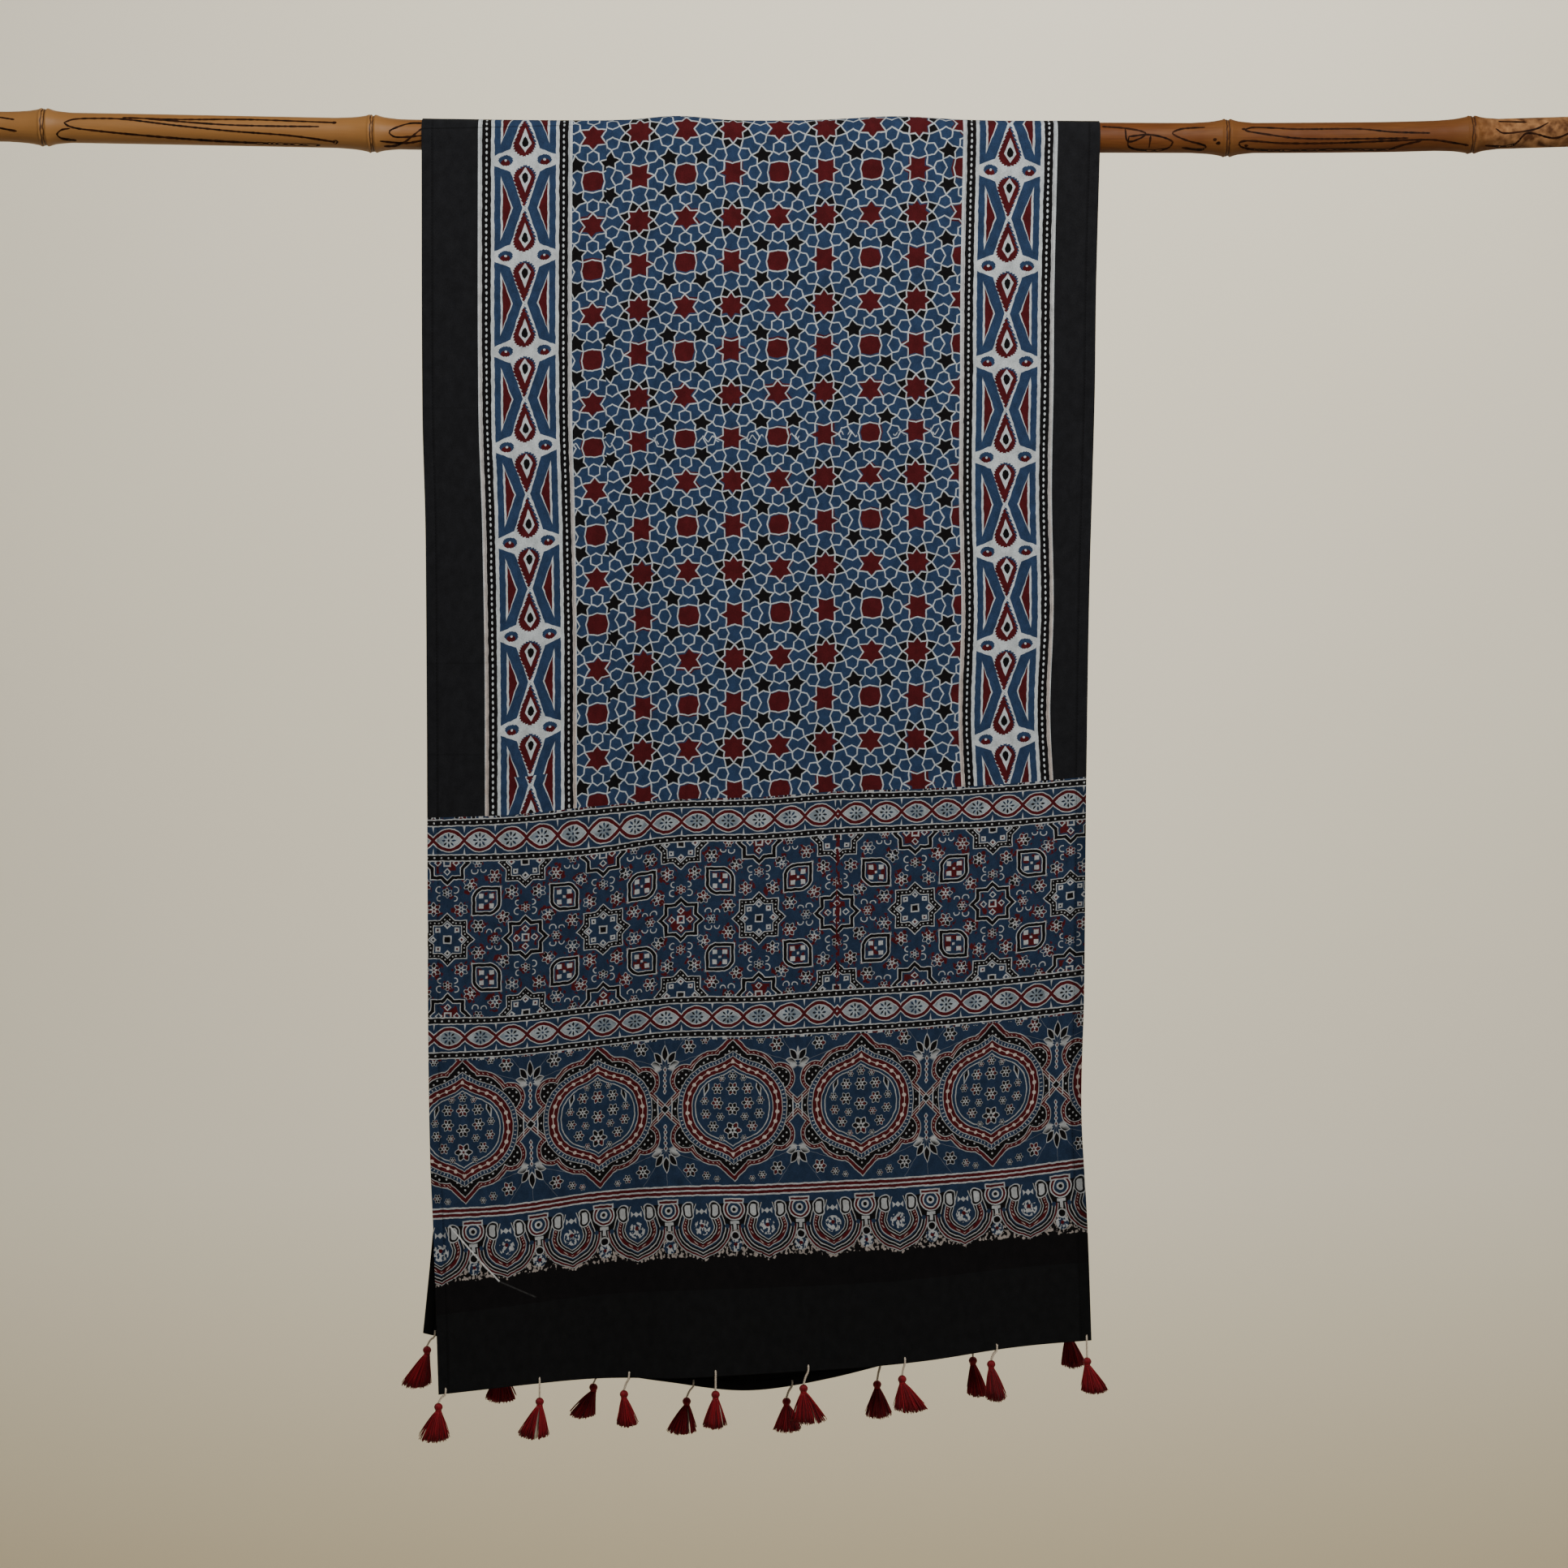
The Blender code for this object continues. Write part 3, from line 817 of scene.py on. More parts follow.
# How far the red of a teardrop lies from its blue
DROP_SLIP_MM = (0.9, 1.4)
# How a border strays: shift, stretch, further stretch above and below two places, and the
# step at its last joint
LEFT_STRAY = (0.0, 0.0, (340.0, 0.0235), (600.0, 0.0), (517.0, 8.0))
RIGHT_STRAY = (-4.1, 0.011, (0.0, 0.0), (290.0, 0.0215), (540.0, 0.0))
# Lean of its rows at the top, to the left and the right of the cloth
LEFT_LEAN, RIGHT_LEAN = 0.03, 0.05


def drop_distance(cotton, x, y):
    """Teardrop with a sawtooth edge: round near the eyes and pointed at the crossing."""
    place = cotton.place(x, y)
    centre, radius = DROP_DISC_MM
    slope = math.asin(radius / (DROP_TIP_MM - centre))
    touch = (radius * math.cos(slope), centre + radius * math.sin(slope))
    teeth = cotton.math("PINGPONG", y + x * 0.6, 1.3) * 1.0 - 0.65
    cone = place.chain(((-60, touch[1]), touch, (0, DROP_TIP_MM)), (0, touch[1] + 1))
    return cotton.least(place.disc((0, centre), radius), cone) + teeth


def strayed(cotton, offset, stray, lean):
    """Place along a border, with the shifts of its blocks."""
    shift, stretch, (high, above), (low, below), (joint, step) = stray
    along = cotton.along
    level = cotton.most(1 - along * (1 / DRIFT_END_MM), 0.0)
    found = along * (1 + stretch) + shift - offset * level * lean
    if above:
        found = found + cotton.most(high - along, 0.0) * above
    if below:
        found = found + cotton.most(along - low, 0.0) * below
    return found - cotton.math("GREATER_THAN", along, joint) * step


def side_border(name, middle, eye_row, half_repeat, stray, lean):
    """Chain of teardrops between blue chevrons, with lined and dotted edges."""
    cotton = Cotton(name)
    offset = cotton.across - middle
    x = abs(offset)
    scale = BORDER_REPEAT_HALF_MM / half_repeat
    along = strayed(cotton, offset, stray, lean)
    past = cotton.around((along - eye_row) * scale, BORDER_REPEAT_HALF_MM)
    y = abs(past)
    place = cotton.place(x, y)
    frame = cotton.most(place.chain(FRAME_SIDE, (24, 30)), x - PANEL_HALF_MM)
    ring = cotton.most(place.beyond(*RING_SIDE, (20, 38)), x - RING_EDGE_MM)
    triangle = cotton.most(place.beyond(*TRIANGLE_SIDE, (18, 38)), x - TRIANGLE_EDGE_MM)
    slip_x, slip_y = DROP_SLIP_MM
    slipped = drop_distance(cotton, abs(offset + slip_x), abs(past - slip_y))
    eye_x, eye_wide, eye_high = EYE_MM
    from_eye = cotton.place((x - eye_x) * (1 / eye_wide), past * (1 / eye_high))
    scallop = cotton.math("PINGPONG", x + past, 1.1) * 0.10
    eye = (from_eye.disc((0, 0), 1.0) + scallop) * eye_high
    (red_x, red_y), (red_wide, red_high) = EYE_RED_MM
    lid = cotton.place((x - eye_x - red_x) * (1 / red_wide), (past - red_y) * (1 / red_high))
    lid = cotton.over(BLUE, (lid.disc((0, 0), 1.0) * red_high, RED))
    stripe_middle, stripe_half = DOT_STRIPE_MM
    stripe = x - stripe_middle
    dots = cotton.place(stripe, cotton.around(cotton.along, DOT_PITCH_MM / 2)
                        * (DOT_HALF_MM[0] / DOT_HALF_MM[1]))
    colour = cotton.over(WHITE, (frame, BLUE), (ring, WHITE), (triangle, RED),
                         (drop_distance(cotton, x, y), BLUE), (slipped, RED),
                         (place.chain(DROP_RING, (0, 15)), WHITE),
                         (place.chain(DROP_PIP, (0, 15)), BLACK),
                         (eye, lid), (place.disc((eye_x, 0), EYE_DOT_MM), WHITE),
                         (PANEL_HALF_MM + 0.1 - x, WHITE), (abs(stripe) - stripe_half, BLACK),
                         (dots.disc((0, 0), DOT_HALF_MM[0]), WHITE))
    # the outer line is rosy, more so towards the end
    outer, half = BORDER_LINE_MM
    blush = cotton.ramp(cotton.along, 1 / 500, 0.05)
    colour = cotton.mix(cotton.line(x - outer, half) * blush, colour, ROSY_WHITE)
    colour = cotton.mix(cotton.line(x - outer + 0.5, 0.28) * 0.5, colour, DEEP_BLUE)
    return cotton.finish(colour)


# End bands: shared parts


def petal_wave(cotton, x, y, petals):
    """Cosine that is 1 along the middle of each of a flower's petals."""
    return cotton.math("COSINE", cotton.math("ARCTAN2", y, x) * float(petals))


def add_rosettes(cotton, colour, vectors, petals, dark):
    """White flowers with dark petals about a dark middle, over a colour."""
    vector, size = cotton.nearest(vectors)
    x, y, _ = cotton.split(vector)
    wave = petal_wave(cotton, x, y, petals)
    rim = size - wave * 0.15 - 0.84
    petal = abs(size - 0.56) - wave * 0.16 - 0.18
    hole = cotton.least(petal, size - 0.15)
    return cotton.over(colour, (rim, DULL_WHITE, 0.08), (hole, dark, 0.08)), size


def patches(cotton, scale, least, seed):
    """1 in scattered patches and 0 elsewhere."""
    moved = cotton.vector_math("ADD", cotton.raw, (seed, 0, 0), "Vector")
    found, _ = cotton.noise(moved, scale, 1.0)
    return cotton.fill(least - found, 0.03)


# Waves and stars: rows about their middle, in mm
STARS_MIDDLE_MM = 647.0
WAVE_OUT_MM = 81.0
DOTS_OUT_MM = 14.0
DOTS_BLACK_MM = 2.1
DOTS_DULL_WHITE_MM = 3.0
ROW_DOT_MM = (3.0, 0.75)
LENS_HALF_MM = 12.9
LENS_START_MM = 282.2
LENS_HEIGHT_MM = 7.5
END_JOINT_MM = (349.0, 4.6)
LENS_RINGS = ((-8.0, LENS_GREY), (-2.1, DULL_WHITE), (-1.2, RED), (1.2, DULL_WHITE),
              (2.0, DEEP_BLUE), (9.0, DEEP_BLUE))
LEFT_LENS_STRETCH = 0.0227
LENS_PETAL_RING_MM = 3.8
STAR_CELL_MM = 64.0
STAR_PITCH_MM = (66.3, 63.0)
STAR_START_MM = 282.0
DOTTED_STAR = (16.3, 22.6)
PLAIN_STAR = (14.3, 19.8)
DOTTED_RINGS = ((-16.0, DEEP_BLUE), (-5.2, DULL_WHITE), (-4.5, BLACK), (-0.8, DULL_WHITE),
                (0.0, DULL_WHITE))
PLAIN_RINGS = ((-16.0, DEEP_BLUE), (-4.1, DULL_WHITE), (-3.4, BLACK), (-0.8, DULL_WHITE),
               (0.0, DULL_WHITE))
STAR_DOT_MM = (-2.65, 1.75, 0.6)
LEAF_HALF_MM = 12.3
LEAF_ROUND_MM = 12.9
LEAF_RINGS = ((-9.0, DEEP_BLUE), (-3.9, DULL_WHITE), (-3.2, BLACK), (-0.8, DULL_WHITE),
              (0.0, DULL_WHITE))
# Twigs that curl from the small flowers: middle and radius
TWIGS_MM = (((41.5, 6.6), 2.6), ((34.4, 6.0), 2.2))
# Squares and diamonds inside a leaf and the two stars: their middles
LEAF_SQUARE_MM, STAR_SQUARE_MM = (4.2, 4.2), (7.9, 7.9)
STAR_DIAMOND_MM, PLAIN_DIAMOND_MM = (11.6, 0), (7.4, 0)
# Flowers between them: out, aside, radius
STAR_FLOWERS_MM = ((25.3, 11.2, 6.0), (45.5, 18.5, 5.8), (38.8, 0.0, 4.3), (20.4, 20.4, 1.6))


def octagram(cotton, x, y, sizes):
    """Distance from a star of two crossed squares, and the place along its edge."""
    side, tip = sizes
    level = x - side
    turned = (x + y - tip) * math.sqrt(0.5)
    on_turned = cotton.math("LESS_THAN", turned, level)
    run = cotton.either(on_turned, y, (x - y) * math.sqrt(0.5))
    return cotton.least(level, turned), run


def star_band(cotton):
    """Colour of the band of eight-pointed stars, with leaves and flowers between them."""
    half = STAR_CELL_MM
    x = cotton.fold((cotton.edge - STAR_START_MM) * (half / STAR_PITCH_MM[0]), half)
    y = cotton.fold((cotton.along - STARS_MIDDLE_MM) * (half / STAR_PITCH_MM[1]), half)
    far = cotton.math("GREATER_THAN", x + y, half)
    x = cotton.either(far, x, half - x)
    y = cotton.either(far, y, half - y)
    out, side = cotton.most(x, y), cotton.least(x, y)
    place = cotton.place(out, side)
    red_here = patches(cotton, 0.11, 0.51, 40.0)
    dark = cotton.mix(patches(cotton, 0.10, 0.52, 90.0), BLACK, DEEP_BLUE)
    dark = cotton.mix(red_here, dark, RED)
    flowers = [place.from_middle(*row) for row in STAR_FLOWERS_MM]
    colour, near = add_rosettes(cotton, DEEP_BLUE, flowers, 6, dark)
    halo = cotton.line(near - 1.1, 0.3, 0.1) * patches(cotton, 0.2, 0.58, 25.0)
    colour = cotton.mix(halo, colour, RED)
    curl = cotton.least(*(abs(place.disc(*twig)) for twig in TWIGS_MM))
    colour = cotton.over(colour, (cotton.most(curl - 0.4, 5.6 - side), DULL_WHITE))
    leaf_x, leaf_y = out - half / 2, side - half / 2
    along_leaf = (leaf_x + leaf_y) * math.sqrt(0.5)
    across_leaf = abs(leaf_x - leaf_y) * math.sqrt(0.5)
    arc = cotton.place(along_leaf, across_leaf).disc((0, 0), LEAF_ROUND_MM)
    arc = cotton.least(arc, across_leaf - abs(along_leaf))
    leaf = cotton.most(abs(leaf_x) - LEAF_HALF_MM, abs(leaf_y) - LEAF_HALF_MM, arc)
    inside = cotton.rings(leaf, LEAF_RINGS)
    inside = cotton.mix(red_here * cotton.fill(leaf + 5.0), inside, RED)
    squares = cotton.place(abs(leaf_x), abs(leaf_y))
    check = cotton.least(squares.box(LEAF_SQUARE_MM, 1.9), squares.box((0, 0), 1.0))
    colour = cotton.over(colour, (leaf, cotton.over(inside, (check, DULL_WHITE))))
    star, run = octagram(cotton, out, side, DOTTED_STAR)
    depth, half_pitch, dot = STAR_DOT_MM
    dots = cotton.place(star - depth, cotton.fold(run, half_pitch)).disc((0, 0), dot)
    motif = cotton.least(place.diamond(STAR_DIAMOND_MM, 2.9), place.box(STAR_SQUARE_MM, 2.0),
                         abs(place.box((0, 0), 2.9)) - 0.55)
    eyes = cotton.least(place.diamond(STAR_DIAMOND_MM, 1.3), place.box(STAR_SQUARE_MM, 0.8))
    inside = cotton.over(cotton.rings(star, DOTTED_RINGS), (place.box((0, 0), 3.4), BLACK),
                         (cotton.least(motif, dots), DULL_WHITE), (eyes, dark))
    colour = cotton.over(colour, (star, inside))
    place = cotton.place(half - out, side)
    star, _ = octagram(cotton, cotton.most(place.x, side), cotton.least(place.x, side), PLAIN_STAR)
    inside = cotton.rings(star, PLAIN_RINGS)
    inside = cotton.mix(red_here * cotton.fill(star + 5.5), inside, RED)
    inside = cotton.over(inside, (abs(place.diamond(PLAIN_DIAMOND_MM, 2.5)) - 0.6, DULL_WHITE),
                         (abs(place.box((0, 0), 2.6)) - 0.6, DULL_WHITE))
    return cotton.over(colour, (star, inside))


def waves_and_stars():
    """Band of stars between two waves of red and white, each in dotted black lines."""
    cotton = Cotton("waves_and_stars")
    colour = star_band(cotton)
    joint, step = END_JOINT_MM
    past = cotton.math("GREATER_THAN", cotton.edge, joint)
    beside = cotton.fill(abs(cotton.edge - joint) - 1.6) * patches(cotton, 0.25, 0.46, 10.0)
    colour = cotton.mix(beside, colour, RED)
    y = abs(abs(cotton.along - STARS_MIDDLE_MM) - WAVE_OUT_MM)
    run = cotton.edge - past * step - LENS_START_MM
    run = run * (1 - cotton.math("LESS_THAN", run, 0.0) * LEFT_LENS_STRETCH)
    x = cotton.fold(run, LENS_HALF_MM)
    share = x * (1 / LENS_HALF_MM)
    wave = (y - (1 - share * share) * LENS_HEIGHT_MM) * (1 - share * 0.33)
    band = cotton.rings(wave, LENS_RINGS)
    petals = petal_wave(cotton, x, y, 8)
    away = cotton.place(x, y).disc((0, 0), 0.0)
    petal = cotton.least(abs(away - LENS_PETAL_RING_MM) - petals * 1.5 - 0.4, away - 0.9)
    clear = patches(cotton, 0.03, 0.50, 60.0) * cotton.fill(wave + 2.3)
    band = cotton.mix(clear * 0.4, band, WHITE)
    dark = cotton.mix(patches(cotton, 0.3, 0.5, 5.0), DEEP_BLUE, BLACK)
    tick = cotton.most(LENS_HALF_MM - x - (y - 6.0) * 0.17, 6.0 - y)
    from_dots = y - DOTS_OUT_MM
    half_pitch, dot = ROW_DOT_MM
    dots = cotton.place(from_dots, cotton.fold(cotton.edge, half_pitch)).disc((0, 0), dot)
    band = cotton.over(band, (petal, dark), (tick, DULL_WHITE),
                       (DOTS_OUT_MM - DOTS_DULL_WHITE_MM - y, DULL_WHITE),
                       (abs(from_dots) - DOTS_BLACK_MM, BLACK), (dots, DULL_WHITE))
    return cotton.finish(cotton.over(colour, (from_dots - DOTS_DULL_WHITE_MM, band)))


# Medallions, in mm from the middle of one
MEDALLION_MIDDLE_MM = 802.8
MEDALLION_SCALE = 0.97
MEDALLION_HALF_MM = 56.6
# Place from which the medallions on a side of the block joint are counted, and their pitch
MEDALLION_JOINT_MM = 316.0
MEDALLIONS_LEFT_MM = (144.5, 115.7)
MEDALLIONS_RIGHT_MM = (370.0, 112.0)
RING_POWER = 2.2
RING_FLATNESS = 0.84
# Share by which a ring rises at its tip, and the angle over which it does
RING_TIP = (0.15, 0.48)
RING_COLOURS = ((0.0, DEEP_BLUE), (30.4, LINE_WHITE), (31.3, DEEP_BLUE), (33.4, LINE_WHITE),
                (34.2, RED), (41.3, LINE_WHITE), (42.1, DEEP_BLUE), (45.3, LINE_WHITE),
                (46.1, BLACK), (60.0, BLACK))
BEAD_RING_MM = (37.8, 1.6)
BEAD_COUNT = 30
TICK_RING_MM = (43.7, 1.0)
TICK_COUNT = 84
EDGE_TIP = ((0.0, 55.6), (14.8, 46.0))
EDGE_LOBES = ((14.8, 21.2, 24.8), (39.5, 22.5, 12.9))
EDGE_WAIST = ((49.0, 11.6), (56.8, 4.0))
EDGE_RINGS = ((-60.0, BLACK), (-4.3, LINE_WHITE), (-3.6, RED), (-0.85, LINE_WHITE),
              (0.0, LINE_WHITE))
EDGE_DOT_MM = 0.40
BLACK_DOT_MM = (3.0, 0.75)
# Flowers inside a medallion and around it: across, down, radius
MEDALLION_FLOWERS_MM = (
    (0, 1.0, 5.6), (0, -25.2, 3.8), (0, -15.0, 5.6), (0, 18.2, 7.6), (12.6, -15.2, 4.8),
    (12.8, -3.6, 5.2), (22.4, 5.0, 4.2), (16.4, 14.8, 4.6), (23.4, -5.4, 3.4), (10.4, 7.2, 3.4),
    (9.0, -23.4, 2.8), (9.4, 24.2, 2.8),
)
OUTER_FLOWERS_MM = ((36.6, 49.2, 6.0), (23.4, 53.9, 3.6), (14.8, 56.6, 2.8))
WING_MM = (21.8, -15.6, 2.4, 7.6)
PALMETTE_BASE_MM = 33.0
PALMETTE_STEP = math.radians(36)
PALMETTE_REACH_MM = (18.5, 4.6)
STEM_MM = (12.0, 33.5)


def medallion_place(cotton):
    """Place across and down from the middle of the nearest medallion."""
    (left, left_pitch), (right, right_pitch) = MEDALLIONS_LEFT_MM, MEDALLIONS_RIGHT_MM
    width = 2 * MEDALLION_HALF_MM
    on_right = cotton.math("GREATER_THAN", cotton.edge, MEDALLION_JOINT_MM)
    x = cotton.either(on_right, (cotton.edge - left) * (width / left_pitch),
                      (cotton.edge - right) * (width / right_pitch))
    y = (cotton.along - MEDALLION_MIDDLE_MM) * MEDALLION_SCALE
    return cotton.fold(x, MEDALLION_HALF_MM), y


def medallion_rings(cotton, x, y):
    """Rounded square with a pointed top and foot: its half-width through a point."""
    rise, width = RING_TIP
    tent = cotton.most(1 - cotton.math("ARCTAN2", x, y) * (1 / width), 0.0)
    total = (cotton.math("POWER", x, RING_POWER)
             + cotton.math("POWER", y * (1 / RING_FLATNESS), RING_POWER))
    return cotton.math("POWER", total, 1 / RING_POWER) * (1 - tent * tent * rise)


def palmette(cotton, x, y):
    """Fan of pointed leaves on a beaded stem, between two medallions: edge and inside."""
    rise = y - PALMETTE_BASE_MM
    angle = cotton.math("ARCTAN2", x, rise)
    reach, loss = PALMETTE_REACH_MM
    away = cotton.place(x, rise).disc((0, 0), 0.0)
    length = reach - abs(angle) * loss
    off = cotton.math("SINE", cotton.fold(angle, PALMETTE_STEP / 2)) * away
    share = cotton.most((away / length - 0.24) * (math.pi / 0.76), 0.0)
    profile = cotton.math("SINE", cotton.least(share, math.pi)) * 3.0
    leaf = cotton.most(off - profile, angle - 2.0)
    low, high = STEM_MM
    bead = cotton.math("SINE", y * 1.45) * 0.5 + 1.0
    return leaf, cotton.most(x - bead, cotton.most(low - y, y - high))


def medallions():
    """Lobed medallions with beaded rings and flowers, with palmettes between them."""
    cotton = Cotton("medallions")
    x, signed = medallion_place(cotton)
    y = abs(signed)
    place = cotton.place(x, y)
    gap = MEDALLION_HALF_MM - x
    leaf, stem = palmette(cotton, gap, y)
    colour = cotton.over(DEEP_BLUE, (leaf, DULL_WHITE), (leaf + 0.75, BLACK),
                         (stem, DULL_WHITE), (stem + 0.75, RED))
    # lobed edge
    tip = cotton.most(place.beyond(*EDGE_TIP, (0, 0)), x - EDGE_TIP[1][0])
    lobes = [place.disc((u, v), radius) for u, v, radius in EDGE_LOBES]
    edge = cotton.least(tip, *lobes, place.beyond(*EDGE_WAIST, (40, 0)))
    pitch, dot = BLACK_DOT_MM
    dots = cotton.place(cotton.fold(x, pitch), cotton.fold(y, pitch))
    black_dots = cotton.least(dots.disc((0, 0), dot), dots.disc((pitch, pitch), dot))
    red_dots = cotton.place(cotton.fold(x + y, 1.6), edge + 2.25).disc((0, 0), EDGE_DOT_MM)
    inside = cotton.over(cotton.rings(edge, EDGE_RINGS),
                         (cotton.most(black_dots, edge + 5.2), DULL_WHITE), (red_dots, ROSY_WHITE),
                         (cotton.most(gap - 5.6, y - 14, edge + 4.4), DEEP_BLUE))
    # waist between two medallions
    waist_line = cotton.line(gap - 5.9, 0.5) * cotton.fill(y - 8.5)
    knot = cotton.place(gap, y).diamond((0, 0), 3.6)
    inside = cotton.over(cotton.mix(waist_line, inside, DULL_WHITE), (knot, BLACK),
                         (abs(knot) - 0.55, DULL_WHITE))
    # rings
    ring = medallion_rings(cotton, x, y)
    turn = cotton.math("ARCTAN2", x, y)
    middle, radius = BEAD_RING_MM
    beads = cotton.place(ring - middle, cotton.fold(turn, math.pi / BEAD_COUNT) * middle)
    bead = cotton.least(beads.disc((0, 0), radius), abs(ring - middle) - 0.3)
    middle, half = TICK_RING_MM
    tick = cotton.fold(turn, math.pi / TICK_COUNT) * middle
    rings = cotton.over(cotton.rings(ring, RING_COLOURS), (bead, ROSY_WHITE),
                        (cotton.most(abs(ring - middle) - half, tick - 0.32), DULL_WHITE))
    inner = cotton.place(x, signed)
    dark = cotton.mix(patches(cotton, 0.14, 0.57, 70.0), BLACK, RED)
    vectors = [inner.from_middle(*row) for row in MEDALLION_FLOWERS_MM]
    vectors += [place.from_middle(*row) for row in OUTER_FLOWERS_MM]
    colour = cotton.over(colour, (edge, cotton.over(inside, (ring - 46.2, rings))))
    # leaves inside
    wing_x, wing_y, wing_wide, wing_high = WING_MM
    bent = inner.x - wing_x - inner.y * 0.25 - 3.9
    wing = cotton.most(abs(bent) - wing_wide + abs(inner.y - wing_y) * (wing_wide / wing_high),
                       abs(inner.y - wing_y) - wing_high)
    colour = cotton.over(colour, (cotton.most(wing, ring - 29.5), DULL_WHITE),
                         (wing + 0.9, BLACK))
    colour, _ = add_rosettes(cotton, colour, vectors, 6, dark)
    return cotton.finish(colour)


# Lamps: horseshoes in nested lines, in mm from the middle of one
LAMP_START_MM = 5.9
LAMP_HALF_MM = 28.05
LAMP_MIDDLE_MM = 900.0
LAMP_LEAN = 0.30
LAMP_TIP_MM = (2.2, 7.5)
LAMP_RINGS = ((0.0, DEEP_BLUE), (9.7, LINE_WHITE), (10.6, BLACK), (12.0, LINE_WHITE),
              (12.7, BLACK), (13.6, RED), (16.5, LINE_WHITE), (17.3, DEEP_BLUE), (18.3, BLACK),
              (19.6, LINE_WHITE), (20.5, BLACK), (22.4, LINE_WHITE), (23.1, RED),
              (24.6, LINE_WHITE), (25.4, BLACK), (40.0, BLACK))
LAMP_DOT_MM = (15.0, 1.4, 0.5)
TRIPLE_MIDDLE_MM = 870.6
TRIPLE_RINGS = ((0.0, DULL_WHITE), (0.65, RED), (3.1, DULL_WHITE), (4.4, DEEP_BLUE),
                (9.0, DEEP_BLUE))
# Head of a horseshoe: across, down from and to, and its three rings
HEAD_MM = (11.8, 884.4, 889.5)
HEAD_RINGS_MM = (5.0, 4.1, 2.5)
URN_MIDDLE_MM = 886.4
URN_RINGS = ((0.0, BLACK), (1.6, DULL_WHITE), (3.2, DEEP_BLUE), (5.6, DULL_WHITE), (6.7, RED),
             (8.3, DULL_WHITE), (9.4, BLACK), (20.0, BLACK))
URN_BAR_MM = (879.3, 7.6, 0.95)
# Discs and boxes: middle, and radius or half-widths
LAMP_FLOWER_MM, LAMP_EYE_MM = ((0, 901.5), 6.8), ((0, 900), 1.7)
URN_FOOT_MM, URN_STEM_MM = ((0, 897.6), (3.6, 1.3)), ((0, 900.6), (1.3, 3.4))
URN_DISC_MM = ((6.6, 900.6), 1.9)
LOTUS_MM, LOTUS_EYE_MM, LOTUS_ARCH_MM = ((0, 916.5), 5.6), ((0, 916), 1.5), ((0, 908.5), 3.4)
FRINGE_MM = (922.8, 4.5)


